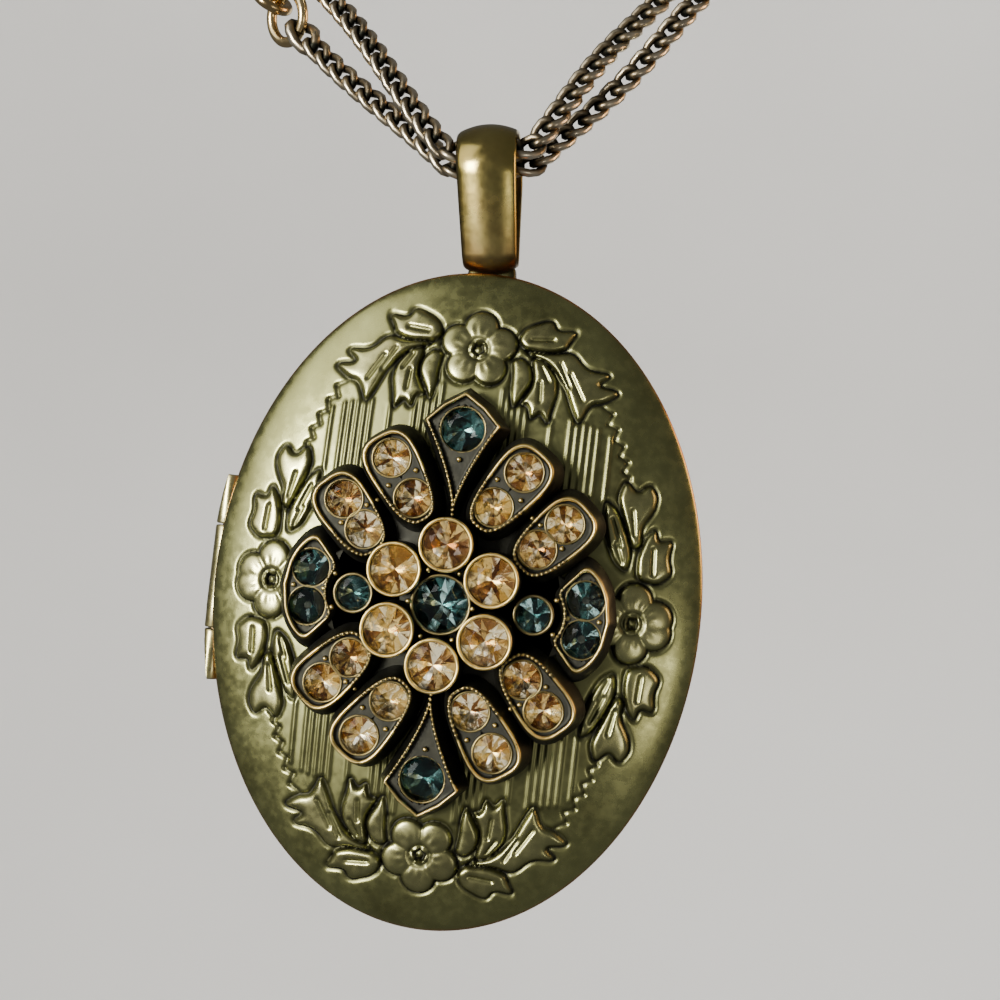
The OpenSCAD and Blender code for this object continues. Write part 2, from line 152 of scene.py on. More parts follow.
def xyz(x, y, z):
    """Points from three coordinates, each a number, a row, a column or a grid."""
    return np.stack(np.broadcast_arrays(x, y, z), -1)


def grid_faces(count, around, joined=False):
    """Four-sided faces between neighbouring rows of a grid whose columns run round."""
    k, i = np.meshgrid(np.arange(count if joined else count - 1), np.arange(around), indexing="ij")
    this, following, beside = k * around, (k + 1) % count * around, (i + 1) % around
    return np.stack([this + i, this + beside, following + beside, following + i], -1).reshape(-1, 4)


def skin(rows, joined=False, oxide_and_shade=0.0, rub=0.0, edge=0.0):
    """A closed skin from points (rows, columns, 3) whose columns run round. Its ends get a pole,
    or meet each other where joined. Returns points of six numbers, the place and what the finish
    reads, then four-sided faces and the triangles at the poles."""
    count, around = rows.shape[:2]
    worn = np.broadcast_arrays(oxide_and_shade, rub, edge, rows[..., 0])[:3]
    grid = np.concatenate([rows, np.stack(worn, -1)], -1)
    points, quads, fans = grid.reshape(-1, 6), grid_faces(count, around, joined), np.zeros((0, 3), int)
    if not joined:
        i, pole, end = np.arange(around), len(points), (count - 1) * around
        beside = (i + 1) % around
        fans = np.concatenate([np.stack([0 * i + pole, beside, i], -1),
                               np.stack([0 * i + pole + 1, end + i, end + beside], -1)])
        points = np.concatenate([points, [grid[0].mean(0), grid[-1].mean(0)]])
    corners = np.concatenate([quads[:, [0, 1, 2]], quads[:, [0, 2, 3]], fans])
    a, b, c = np.moveaxis((points[:, :3] - points[:, :3].mean(0))[corners], 1, 0)
    if np.einsum("ij,ij->i", a, np.cross(b, c)).sum() < 0:
        quads, fans = quads[:, ::-1], fans[:, ::-1]
    return points, quads, fans


# %% [markdown]
# numpy arrays go into a mesh in one stroke with foreach_set. The object stays at the origin,
# unturned, and its place is in the mesh. Smooth shading is kept where faces meet gently, and
# edges sharper than a given angle stay crisp.

# %% Meshes from skins
def make_object(name, skins, crisp=None):
    """A linked mesh object from skins in millimetres, smooth but for edges sharper than crisp."""
    starts = np.cumsum([0] + [len(points) for points, _, _ in skins[:-1]])
    points = np.concatenate([points for points, _, _ in skins])
    quads, fans = (np.concatenate([s[kind] + start for s, start in zip(skins, starts)]) for kind in (1, 2))
    mesh = bpy.data.meshes.new(name)
    mesh.vertices.add(len(points))
    mesh.vertices.foreach_set("co", to_metres(points[:, :3]).astype(np.float32).ravel())
    mesh.loops.add(quads.size + fans.size)
    mesh.loops.foreach_set("vertex_index", np.append(quads, fans).astype(np.int32))
    sizes = np.repeat([4, 3], [len(quads), len(fans)])
    mesh.polygons.add(len(sizes))
    mesh.polygons.foreach_set("loop_start", (np.cumsum(sizes) - sizes).astype(np.int32))
    mesh.polygons.foreach_set("use_smooth", np.ones(len(sizes), bool))
    mesh.update(calc_edges=True)
    for label, column in zip(("oxide_and_shade", "rub", "edge"), points.T[3:]):
        mesh.attributes.new(label, "FLOAT", "POINT").data.foreach_set("value", column.astype(np.float32))
    if crisp:
        mesh.set_sharp_from_angle(angle=math.radians(crisp))
    return new_object(name, mesh)


def make_piece(name, skins, finish, body, replaces=(), crisp=None):
    """An object of that finish, riding on a body and standing for solids."""
    piece = make_object(name, skins, crisp)
    piece.data.materials.append(finish)
    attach(piece, body)
    if replaces:
        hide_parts(*replaces)
    print(name, "has", sum(len(p.vertices) - 2 for p in piece.data.polygons), "triangles")
    return piece

# %% [markdown]
# Old brass is uneven: its colour wanders, scratches and dull patches change its gloss, dark oxide
# stays in the grooves, and what stands proud is rubbed bright. The same dark layer also paints
# shade: beside the grooves, in the valleys of the flutes, on the ground of the wreath and on the
# bail. Oxide with painted shade, and rubbed places, come with each mesh as numbers on its points,
# because only the shape knows where they are. The rest is noise on Object coordinates.

# %% Helpers for finishes
def feed(tree, socket, value):
    """Puts another node's socket, a number or a colour into an input."""
    if isinstance(value, bpy.types.NodeSocket):
        tree.links.new(value, socket)
    else:
        socket.default_value = value


def plug(tree, target, **inputs):
    """Feeds a node's inputs, which are named with _ for a space."""
    for key, value in inputs.items():
        feed(tree, target.inputs[key.replace("_", " ")], value)


def new_finish(name, **inputs):
    """A finish with its node tree and its Principled shader, which takes those inputs."""
    finish = bpy.data.materials.new(name)
    finish.use_nodes = True
    tree, shader = finish.node_tree, finish.node_tree.nodes["Principled BSDF"]
    plug(tree, shader, **inputs)
    return finish, tree, shader


def node(tree, kind, settings=(), **inputs):
    """A node of that kind with settings and inputs."""
    made = tree.nodes.new(kind)
    for key, value in dict(settings).items():
        setattr(made, key, value)
    plug(tree, made, **inputs)
    return made


def cloud(tree, scale, detail=3.0):
    """Smooth noise from 0 to 1; scale counts its patches in a metre."""
    place = node(tree, "ShaderNodeTexCoord").outputs["Object"]
    return node(tree, "ShaderNodeTexNoise", Vector=place, Scale=scale, Detail=detail).outputs["Fac"]


def between(tree, value, low, high, start=0.0, end=1.0):
    """A value taken from the range low to high into the range start to end."""
    return node(tree, "ShaderNodeMapRange", Value=value, From_Min=low, From_Max=high,
                To_Min=start, To_Max=end).outputs["Result"]


def maths(tree, operation, *values):
    """Numbers put through one operation, kept from 0 to 1."""
    made = node(tree, "ShaderNodeMath", {"operation": operation, "use_clamp": True})
    for socket, value in zip(made.inputs, values):
        feed(tree, socket, value)
    return made.outputs[0]


def blend_colours(tree, share, a, b):
    """Colour a where share is 0 and b where it is 1."""
    made = node(tree, "ShaderNodeMix", {"data_type": "RGBA"})
    for number, value in ((0, share), (6, a), (7, b)):
        feed(tree, made.inputs[number], (*value, 1.0) if isinstance(value, tuple) else value)
    return made.outputs[2]


def on_points(tree, name):
    """The number that the mesh holds under that name at each point."""
    return node(tree, "ShaderNodeAttribute", {"attribute_name": name}).outputs["Fac"]

# %% [markdown]
# The layers come in the order in which they came on the real thing: metal, patches of tarnish,
# oxide in the recesses, which also carries painted shade beside them, then wear, which takes the
# oxide off again and leaves a coppery tone along the outer edges.

# %% Brass
# The dark colour below paints oxide in the hollows and also painted shade beside grooves and flutes, on the
# wreath's ground and on the bail.
OLIVE, UMBER, OXIDE_AND_SHADE = (0.37, 0.37, 0.15), (0.26, 0.255, 0.10), (0.020, 0.020, 0.015)
PALE_GOLD, COPPER = (0.80, 0.72, 0.38), (0.55, 0.17, 0.05)
BUMP_STRENGTH, DULLED = 0.35, 0.25


def brass(name, bare, tarnished, worn, gloss, oxide_and_shade_colour=OXIDE_AND_SHADE, grain=2200.0, relief=0.00002, worn_edge=None):
    """Brass whose bare and tarnished colours mix in patches. Each further layer shows where the
    mesh's number of that name is high. gloss is the roughness, low to high, and the layer of oxide
    and painted shade adds to it."""
    finish, tree, shader = new_finish(name, Metallic=1.0)
    colour = blend_colours(tree, between(tree, cloud(tree, 260, 4.0), 0.38, 0.66), bare, tarnished)
    layers = [("oxide_and_shade", oxide_and_shade_colour, 900, (0.2, 0.6, 0.8, 1.1)), ("rub", worn, 700, (0.3, 0.6, 0.55, 1.0))]
    if worn_edge:
        layers.append(("edge", worn_edge, 420, (0.3, 0.65, 0.45, 1.0)))
    share = {}
    for label, tint, scale, spread in layers:
        patchy = between(tree, cloud(tree, scale), *spread)
        share[label] = maths(tree, "MULTIPLY", on_points(tree, label), patchy)
        colour = blend_colours(tree, share[label], colour, tint)
    scuffs = between(tree, cloud(tree, 1500, 5.0), 0.3, 0.7, *gloss)
    bump = node(tree, "ShaderNodeBump", Height=cloud(tree, grain, 4.0), Strength=BUMP_STRENGTH, Distance=relief)
    plug(tree, shader, Base_Color=colour, Normal=bump.outputs["Normal"],
         Roughness=maths(tree, "MULTIPLY_ADD", share["oxide_and_shade"], DULLED, scuffs))
    return finish


antique_brass = brass("antique_brass", OLIVE, UMBER, PALE_GOLD, (0.20, 0.33), relief=0.00001, worn_edge=COPPER)
cast_brass = brass("cast_brass", (0.080, 0.074, 0.046), (0.045, 0.042, 0.028), (0.85, 0.63, 0.21), (0.26, 0.44),
                   oxide_and_shade_colour=(0.034, 0.034, 0.028), grain=3200.0, relief=0.00005)
bail_brass = brass("bail_brass", (0.37, 0.33, 0.10), (0.26, 0.225, 0.065), (0.80, 0.68, 0.30), (0.15, 0.24),
                   relief=0.00001, worn_edge=COPPER)
chain_brass = brass("chain_brass", (0.36, 0.275, 0.16), (0.22, 0.165, 0.095), (0.84, 0.74, 0.54), (0.24, 0.38),
                    grain=2600.0)
bright_brass = brass("bright_brass", (0.70, 0.54, 0.27), (0.50, 0.35, 0.16), (0.88, 0.72, 0.42), (0.16, 0.30))
hinge_brass = brass("hinge_brass", (0.50, 0.38, 0.20), (0.36, 0.24, 0.12), PALE_GOLD, (0.22, 0.36))
print("Brass finishes:", [m.name for m in bpy.data.materials if "brass" in m.name])

# %% [markdown]
# ## The lid
# A stamped lid starts as a plain oval dome. Its height depends only on how far out a point lies
# between the middle and the edge, which is one number, its share of the oval.

# %% The oval dome
HALF_W, HALF_H = 16.8, 22.5
RIM, RISE, STEEP = 0.8, 2.8, 0.65
SHEET, SEAM, INNER_DROP = 0.6, 0.05, 0.35


def bulge(share):
    """1 less the share squared, to the power 0.65: flat in the middle and steep at the edge."""
    return np.clip(1 - share ** 2, 0, None) ** STEEP


def dome(share):
    """Height above the parting plane: the rim plus the rise of the bulge."""
    return RIM + RISE * bulge(share)


def inner_dome(share):
    """The inside of the sheet, which springs from lower down and stops one sheet lower."""
    return RIM - INNER_DROP + (RISE - SHEET + INNER_DROP) * bulge(share)


print("Dome height in mm at the middle, half way and the edge:", dome(np.array([0, 0.5, 1])).round(2))

# %% [markdown]
# The stamped wreath is drawn with grooves: each leaf is a pillowed island inside a pressed line.
# A leaf is an outline of a few points with its corners cut twice, and what the stamp does at a
# place depends on the distance to that outline, negative inside.

# %% Distances to outlines
def cut_corners(outline, times=2):
    """Each corner is replaced by two points, a fifth of the way along the edges beside it."""
    points = np.asarray(outline, float)
    for _ in range(times):
        after = np.roll(points, -1, 0)
        points = np.stack([0.8 * points + 0.2 * after, 0.2 * points + 0.8 * after], 1).reshape(-1, 2)
    return points


def distance_to_line(x, z, start, end):
    """Distance to a straight stroke, by the nearest point on it."""
    along = np.subtract(end, start)
    t = ((x - start[0]) * along[0] + (z - start[1]) * along[1]) / (along @ along)
    t = np.clip(t, 0, 1)
    return np.hypot(x - start[0] - t * along[0], z - start[1] - t * along[1])


def distance_to_outline(x, z, outline):
    """Distance to the nearest edge, negative where a ray crosses the outline an odd number of times."""
    nearest, inside = np.full(x.shape, np.inf), np.zeros(x.shape, bool)
    for a, b in zip(outline, np.roll(outline, -1, 0)):
        nearest = np.minimum(nearest, distance_to_line(x, z, a, b))
        crosses = (a[1] > z) != (b[1] > z)
        if a[1] != b[1]:
            inside ^= crosses & (x < a[0] + (z - a[1]) * (b[0] - a[0]) / (b[1] - a[1]))
    return np.where(inside, -nearest, nearest)

# %% [markdown]
# The wreath is the same in all four quarters, so only one is drawn. The leaves are the split
# acanthus of such stampings: a bow leaf beside the top flower, a long leaf over the shoulder,
# two short ones below it, and a spray above each side flower. Each is an outline and the slots
# that are its veins. A later one hides the lines of an earlier one.

# %% Leaves of one quarter
LEAVES = {
    "bow": (
        [(2.5, 17.9), (3.0, 18.9), (4.67, 19.6), (5.1, 18.8), (6.5, 19.0), (6.0, 18.1), (5.8, 17.6),
         (4.6, 17.15), (3.2, 17.25)],
        [((3.5, 18.0), (4.95, 18.15))]),
    "shoulder": (
        [(3.2, 17.25), (5.0, 17.2), (6.3, 17.5), (7.4, 16.35), (9.15, 16.3), (8.1, 15.4), (9.85, 15.15),
         (8.8, 14.3), (7.85, 14.1), (7.25, 12.6), (6.7, 13.6), (6.1, 15.0), (5.2, 16.2), (4.0, 16.75)],
        [((6.3, 16.0), (7.3, 14.3)), ((5.6, 16.6), (6.4, 15.1))]),
    "petal": (
        [(2.3, 16.6), (3.1, 16.75), (3.75, 16.0), (3.95, 15.3), (3.4, 14.3), (2.8, 13.2), (2.5, 14.2),
         (2.5, 15.4)],
        []),
    "tongue": (
        [(3.6, 16.9), (4.6, 16.6), (5.4, 15.6), (5.65, 14.7), (5.35, 13.4), (5.25, 12.4), (4.6, 13.2),
         (4.05, 12.6), (3.75, 13.6), (3.2, 13.6), (4.0, 15.0)],
        [((4.35, 16.3), (4.95, 15.3)), ((4.4, 15.2), (4.5, 13.9))]),
    "outer spray": (
        [(12.2, 2.9), (12.1, 4.4), (12.5, 5.7), (13.1, 6.4), (13.35, 5.5), (14.35, 5.7), (14.15, 4.5),
         (14.5, 3.5), (13.6, 2.7)],
        [((13.1, 5.0), (13.2, 3.4))]),
    "side spray": (
        [(12.3, 5.2), (12.15, 6.3), (12.9, 7.6), (13.0, 8.5), (12.45, 9.3), (11.7, 8.5), (10.8, 9.4),
         (10.4, 8.2), (10.75, 7.2), (11.2, 6.0), (11.7, 4.8)],
        [((11.45, 7.4), (11.75, 5.8))]),
    "inner spray": (
        [(9.6, 7.9), (10.4, 7.4), (11.2, 5.9), (11.7, 4.6), (11.5, 3.3), (10.6, 3.9), (10.0, 5.2), (9.6, 6.4)],
        [((10.2, 6.7), (10.9, 5.0)), ((10.6, 5.1), (11.1, 3.9))]),
}
BORDER = [(8.75, 14.0), (9.2, 12.9), (9.75, 11.9), (10.2, 10.9), (10.55, 9.9), (10.75, 9.0)]
FLUTES = [(x, 5.0, 12.9 - 0.22 * (x - 6.75)) for x in (6.75, 7.22, 7.7, 8.17, 8.65)]
FLUTES += [(x, 10.0, 14.4) for x in (2.05, 2.45, 2.85, 3.3, 3.75)]
FLUTES += [(5.45, 8.0, 12.7), (9.5, 6.5, 12.1)]
FLOWERS = [(0, 17.0), (12.25, 0)]
print("Leaves in a quarter:", len(LEAVES), "and flutes:", len(FLUTES))

# %% [markdown]
# A groove is a bell curve of the distance to its line, and a flute is the same curve upwards. A
# pillow rises quickly at the edge of its leaf and then hardly at all, like embossed sheet. A
# flower is five round petals, each a low cushion whose height is the root of one less its
# distance squared, so that creases appear by themselves where two petals meet, and a button in
# the middle. Oxide fills the grooves, and painted shade darkens what is beside them and the
# valleys beside the flutes. Oxide and painted shade darken the ground inside and the flower's creases.

# %% Height of the stamping
GROOVE_DEEP, GROOVE_WIDE, SHADE_WIDE = 0.15, 0.14, 2.4
PILLOW, PILLOW_EDGE, RIDGE, RIDGE_WIDE, VEIN = 0.28, 0.15, 0.12, 0.13, 0.20
PETAL_REACH, PETAL_R, BUTTON_R = 1.5, 1.14, 0.68
PETAL_RISE, BUTTON_RISE, CREASE = 0.30, 0.34, 0.02
GROUND_DARK, GROUND_SHARE, OUTSIDE = 0.45, 0.80, 0.07
FLUTE_SHADE, FLUTE_SIDE, VEIN_SOOT, TOOTH, TOOTH_DEEP = 0.4, 0.22, 0.5, 0.42, 0.8


def bell(distance, wide):
    """A bell curve: 1 at distance 0 and next to nothing at twice the width."""
    return np.exp(-(distance / wide) ** 2)


def press(height, dark, distance, deep=1.0, wide=GROOVE_WIDE):
    """A groove along distance 0, taken off the heights, with oxide in it and painted shade beside it."""
    # The narrow bell is oxide in the groove, the wide one painted shade on both sides of it.
    line, darkening = bell(distance, wide), bell(distance, SHADE_WIDE * wide)
    return height - GROOVE_DEEP * deep * line, np.maximum(dark, deep * (0.64 * line + 0.36 * darkening))


def cover(height, dark, distance, top):
    """An island laid over what is below it, with a groove round it: inside, the height is its own."""
    share = np.clip(0.5 - distance / 0.12, 0, 1)
    return press(height * (1 - share) + top * share, dark * (1 - share), distance - OUTSIDE)


def flower_top(x, z, middle):
    """Height and outline distance of a five-petalled flower about its middle."""
    dx, dz = x - middle[0], z - middle[1]
    angles = turns(5)[:, None, None]
    away = np.hypot(dx - PETAL_REACH * np.sin(angles), dz - PETAL_REACH * np.cos(angles))
    cushion = np.sqrt(np.clip(1 - (away / (PETAL_R * 1.05)) ** 2, 0, None)).max(0)
    radius = np.hypot(dx, dz)
    button = np.clip(1 - (radius / BUTTON_R) ** 2, 0, None) ** 0.7
    creases = CREASE * np.cos(np.arctan2(dx, dz) * 15) * bell(radius - 1.35, 0.3)
    top = np.where(radius < BUTTON_R, 0.10 + BUTTON_RISE * button, 0.04 + PETAL_RISE * cushion + creases)
    return top, away.min(0) - PETAL_R, radius


def stamping(x, z):
    """Height of the wreath above the dome, and how dark its oxide and painted shade are, the same in all
    quarters.
    """
    x, z = np.abs(x), np.abs(z)
    height = np.zeros(x.shape)
    # The ground near the medallion starts darker, with oxide and with painted shade where the casting stands
    # over it.
    dark = GROUND_DARK * np.clip((GROUND_SHARE - np.hypot(x / HALF_W, z / HALF_H)) / 0.08, 0, 1)
    for at, low, high in FLUTES:
        away = distance_to_line(x, z, (at, low), (at, high))
        height = height + RIDGE * bell(away, RIDGE_WIDE)
        # Painted shade in the valleys on both sides of each flute.
        dark = np.maximum(dark, FLUTE_SHADE * bell(away - FLUTE_SIDE, 0.08))
    for a, b in zip(BORDER, BORDER[1:]):
        tip = np.add(a, b) / 2 - TOOTH * np.array([b[1] - a[1], a[0] - b[0]])
        for start, end in ((a, tip), (tip, b)):
            height, dark = press(height, dark, distance_to_line(x, z, start, end), TOOTH_DEEP)
    for outline, veins in LEAVES.values():
        distance, slots = distance_to_outline(x, z, cut_corners(outline)), np.zeros(x.shape)
        top = PILLOW * (1 - np.exp(distance / PILLOW_EDGE))
        for start, end in veins:
            away = distance_to_line(x, z, start, end)
            top, slots = top - VEIN * bell(away, 0.13), np.maximum(slots, VEIN_SOOT * bell(away, 0.16))
        height, dark = cover(height, dark, distance, top)
        dark = np.where(distance < 0, np.maximum(dark, slots), dark)
    for middle in FLOWERS:
        top, distance, radius = flower_top(x, z, middle)
        height, dark = cover(height, dark, distance, top)
        height, dark = press(height, dark, radius - BUTTON_R - 0.05, 0.7, 0.9 * GROOVE_WIDE)
        # The flower is darker where it lies low, in the creases between petals and round the button: oxide with
        # painted shade.
        low = np.clip(0.22 - top, 0, 0.22) * 1.6
        dark = np.where(distance < 0, np.maximum(dark, low), dark)
    return height, np.clip(dark, 0, 1)

# %% [markdown]
# The grid of the lid is a set of rings, each a scaled ellipse. Most of them lie where the wreath
# is, a tenth of a millimetre apart, and only a few are spent on the bare middle under the
# medallion, on the rim and on the inside.

# %% Rings of a shell
RUBBED_ABOVE, RUBBED, WORN_FROM, WORN_OVER = 0.10, 0.22, 0.992, 0.007
INSIDE_SOOT = 0.25


def ellipse(share, around, half_w=HALF_W, half_h=HALF_H):
    """Points x and z of scaled ellipses, a row for each share of the oval."""
    x, z = circles(share, around)
    return half_w * x, half_h * z


def shell(around, shares, front, wreath=False):
    """One stamped half: outer dome, rim wall and inner side, from pole to pole, each with its
    oxide and painted shade, rub and edge. front is -1 for the lid, whose dome looks towards -y, and 1 for the
    back."""
    x, z = ellipse(shares, around)
    height, dark = stamping(x, z) if wreath else (0 * x, 0 * x)
    bright = np.clip((height - RUBBED_ABOVE) * 5, 0, 1) * (1 - dark) * RUBBED
    worn = np.clip((shares[:, None] - WORN_FROM) / WORN_OVER, 0, 1) + 0 * x
    parts = [(xyz(x, front * (dome(shares)[:, None] + height), z), dark, bright, worn)]
    wall_y = np.array([[0.66], [0.5], [0.3], [0.14], [SEAM]])
    x, z = ellipse(1 - 0.0008 * np.array([0, 0, 0, 1, 4]), around)
    parts.append((xyz(x, front * wall_y, z), 0 * x, 0 * x, 0 * x + 1))
    inner_shares = np.array([1, 1, 0.995, 0.97, 0.9, 0.75, 0.5, 0.25])
    inner_y = np.append(SEAM, inner_dome(inner_shares[1:]))[:, None]
    x, z = ellipse(inner_shares, around, HALF_W - SHEET, HALF_H - SHEET)
    parts.append((xyz(x, front * inner_y, z), 0 * x + INSIDE_SOOT, 0 * x, 0 * x))
    rows, oxide_and_shade, rub, edge = (np.concatenate(part) for part in zip(*parts))
    return skin(rows, oxide_and_shade=oxide_and_shade, rub=rub, edge=edge)


EDGE_SHARES = [0.945, 0.959, 0.971, 0.981, 0.988, 0.993, 0.997, 0.9994, 1]
LID_SHARES = np.concatenate([[0.15, 0.32, 0.44], np.linspace(0.5, 0.93, 88), EDGE_SHARES])
lid_shell = shell(880, LID_SHARES, -1, wreath=True)

# %% [markdown]
# The hinge is a row of three tubes round one pin. The middle tube belongs to the lid and the
# outer two to the back. They are turned from wire and then filed to the outline of the oval,
# which here is a limit on how far left a point may lie.

# %% Hinge tubes
HINGE_X, HINGE_Z, KNUCKLE_R = -HALF_W + 0.15, -0.4, 0.75
MIDDLE_LEN, HINGE_LEN, HINGE_GAP = 7.2, 14.4, 0.12
FILED_R = HALF_H ** 2 / HALF_W + 0.7
FILED_X = -HALF_W - 0.7 + FILED_R
NOSE = [(0, 0.12), (0.03, 0.03), (0.12, 0)]


def stretched(profile, count):
    """The columns of a profile, with rows filled in evenly between its own, count in all."""
    profile = np.array(profile, float)
    steps = np.linspace(0, len(profile) - 1, count)
    return [np.interp(steps, np.arange(len(profile)), column) for column in profile.T]


def knuckle(low, high, around=48):
    """A tube along z with rounded ends, its left side held inside a circle near the oval."""
    profile = [(low + way, KNUCKLE_R - less) for way, less in NOSE]
    profile += [(high - way, KNUCKLE_R - less) for way, less in NOSE[::-1]]
    z, radius = stretched(profile, 26)
    x, y = circles(radius, around)
    z = z[:, None]
    x = np.maximum(HINGE_X + x, FILED_X - np.sqrt(FILED_R ** 2 - z ** 2))
    ends = np.minimum(z - low, high - z) < 0.4
    return skin(xyz(x, y, z), oxide_and_shade=0.35 * ends, rub=0.3, edge=0.08)


middle_low, middle_high = HINGE_Z - MIDDLE_LEN / 2, HINGE_Z + MIDDLE_LEN / 2
hinge_low, hinge_high = HINGE_Z - HINGE_LEN / 2, HINGE_Z + HINGE_LEN / 2
lid_knuckle = knuckle(middle_low, middle_high)
back_knuckles = [knuckle(hinge_low, middle_low - HINGE_GAP), knuckle(middle_high + HINGE_GAP, hinge_high)]

# %% [markdown]
# Each shell is notched where the other half's tubes turn. A notch is a clean cut by a cylinder,
# and a Boolean modifier is the tool for that: it also carries the numbers of oxide, painted shade
# and wear over.

# %% Notches for the hinge
def cut_notches(piece, spans):
    """Cuts a cylinder about the hinge line out of a piece for each span along z."""
    x, y = circles([KNUCKLE_R + HINGE_GAP] * 2, 48)
    for low, high in spans:
        tool = make_object("notch", [skin(xyz(HINGE_X + x, y, [[low - HINGE_GAP], [high + HINGE_GAP]]))])
        cut = piece.modifiers.new("notch", "BOOLEAN")
        cut.object, cut.operation, cut.solver = tool, "DIFFERENCE", "MANIFOLD"
        with bpy.context.temp_override(object=piece, active_object=piece):
            bpy.ops.object.modifier_apply(modifier=cut.name)
        bpy.data.objects.remove(tool)
    print(piece.name, "is notched and has", len(piece.data.polygons), "faces")


lid = make_piece("lid_shell", [lid_shell], antique_brass, "lid", ["lid"], crisp=80)
cut_notches(lid, [(hinge_low - 1, middle_low - HINGE_GAP), (middle_high + HINGE_GAP, hinge_high + 1)])
make_piece("lid_knuckle", [lid_knuckle], antique_brass, "lid", crisp=50)

# %% [markdown]
# The back half is the same stamping without a wreath. It is plain, so it needs far fewer rings.

# %% Back half
BACK_SHARES = np.concatenate([[0.12, 0.3], np.linspace(0.45, 0.93, 12), EDGE_SHARES])
back_half = make_piece("back_shell", [shell(320, BACK_SHARES, 1)], antique_brass,
                       "locket_back", ["back_half"], crisp=50)
cut_notches(back_half, [(middle_low, middle_high)])
make_piece("back_knuckles", back_knuckles, antique_brass, "locket_back", crisp=50)

# %% [markdown]
# ## The bail
# The bail is a strip, flat inside and crowned outside, bent into a drop: a round top that the
# chain rides in, two straight legs and a tight foot. The drop is two circles and the straight
# lines that touch both, so a point on it is a centre, an outward direction and a distance. The
# strip narrows a little towards the foot.

# %% Bail
BAIL_W, BAIL_T, BAIL_R, FOOT_R, CROWN = 4.2, 0.7, 2.55, 0.9, 0.5
BAIL_H, FOOT_GAP, TAPER = 10.5, 0.15, 0.12
FOOT_W, FOOT_D = 3.4, 1.4
BAIL_TOP = HALF_H + BAIL_H - BAIL_T - BAIL_R
BAIL_FOOT = HALF_H + FOOT_GAP + BAIL_T + FOOT_R


def even(outline, count):
    """Points at equal steps along a closed outline."""
    closed = np.concatenate([outline, outline[:1]])
    length = np.concatenate([[0], np.cumsum(np.linalg.norm(np.diff(closed, axis=0), axis=1))])
    steps = np.linspace(0, length[-1], count, endpoint=False)
    return np.stack([np.interp(steps, length, column) for column in closed.T], -1)


across = np.linspace(-1, 1, 9)
outer = np.stack([across * BAIL_W / 2, BAIL_T - CROWN * across ** 2], -1)
inner = np.array([[BAIL_W / 2, 0], [-BAIL_W / 2, 0]])
across, out = even(cut_corners(np.concatenate([outer, inner])), 36).T
slant = math.asin((BAIL_R - FOOT_R) / (BAIL_TOP - BAIL_FOOT))
top_arc = np.linspace(-slant, math.pi + slant, 49)
foot_arc = np.linspace(math.pi + slant, 2 * math.pi - slant, 25)
angle = np.concatenate([top_arc, foot_arc])[:, None]
at_foot = np.arange(len(angle))[:, None] >= len(top_arc)
reach = np.where(at_foot, FOOT_R, BAIL_R) + out
rise = np.where(at_foot, BAIL_FOOT, BAIL_TOP) + reach * np.sin(angle)
narrowed = across * (1 - TAPER * np.clip((BAIL_TOP + 1.5 - rise) / BAIL_H, 0, 1))
# Painted shade darkens the strip towards its foot and on its flat inner face.
darkening = np.maximum(0.8 * np.clip((BAIL_FOOT + 1.5 - rise) / 2.4, 0, 1), np.where(out < 0.12, 0.7, 0.0))
ridge = np.clip((out - BAIL_T + 0.28) / 0.28, 0, 1)
bail_rows = leaned(xyz(narrowed, reach * np.cos(angle), rise))
bail_skin = skin(bail_rows, joined=True, oxide_and_shade=darkening, rub=0.15 * ridge, edge=0.12)


def power(number, exponent):
    """A power of a number's size, with the number's own sign."""
    return np.sign(number) * np.abs(number) ** exponent


def rounded_block(low, high, square=5.0, around=40):
    """A block with soft edges: a superellipse outline that draws in at its two ends."""
    low, high = np.array(low), np.array(high)
    x, y = power(np.cos(turns(around)), 2 / square), power(np.sin(turns(around)), 2 / square)
    z = power(np.sin(np.linspace(-np.pi / 2, np.pi / 2, 15)), 2 / square)[:, None]
    draw = np.clip(1 - np.abs(z) ** square, 0.04, None) ** (1 / square)
    return (low + high) / 2 + xyz(draw * x, draw * y, z) * (high - low) / 2


foot_rows = rounded_block((-FOOT_W / 2, SEAM + FOOT_GAP, HALF_H - SHEET),
                          (FOOT_W / 2, SEAM + FOOT_GAP + FOOT_D, HALF_H + FOOT_GAP + BAIL_T))
bail_skins = [bail_skin, skin(leaned(foot_rows), oxide_and_shade=0.85)]
make_piece("bail", bail_skins, bail_brass, "locket_back")

# %% [markdown]
# ## The medallion
# The medallion is one casting with eight petals, two kites, two fans and a round setting under
# each stone. A raised part is an outline with a dark skirt that slopes up to a thin rim and
# drops into a shallow dish. So a part needs its outline at a given trim, which is how far in
# from the edge it runs, a top height, the quarters it is mirrored to, and a rule for the stretch
# of its rim that carries beads.

# %% Outlines of the casting
MEDALLION_BACK, BASE, DISH, PETAL_RIM = 3.75, 0.65, 0.35, 0.24
SIDE_X = 5.89


def turned(points, degrees, middle):
    """Points turned about the origin and moved to a middle."""
    c, s = math.cos(math.radians(degrees)), math.sin(math.radians(degrees))
    return points @ np.array([[c, s], [-s, c]]) + middle


def petal(length, inner, outer, middle, degrees):
    """A wedge with rounded ends: its half width grows from inner to outer, times the cube root
    of one less the cube of the way along."""
    def outline(trim):
        """The wedge, that much smaller all round."""
        way = -np.cos(turns(240))
        half = (inner + outer) / 2 + (outer - inner) / 2 * way - trim
        wide = np.repeat([1, -1], 120) * half * np.clip(1 - np.abs(way) ** 3, 0, None) ** (1 / 3)
        return turned(np.stack([wide, (length / 2 - trim) * way], -1), degrees, middle)
    return outline


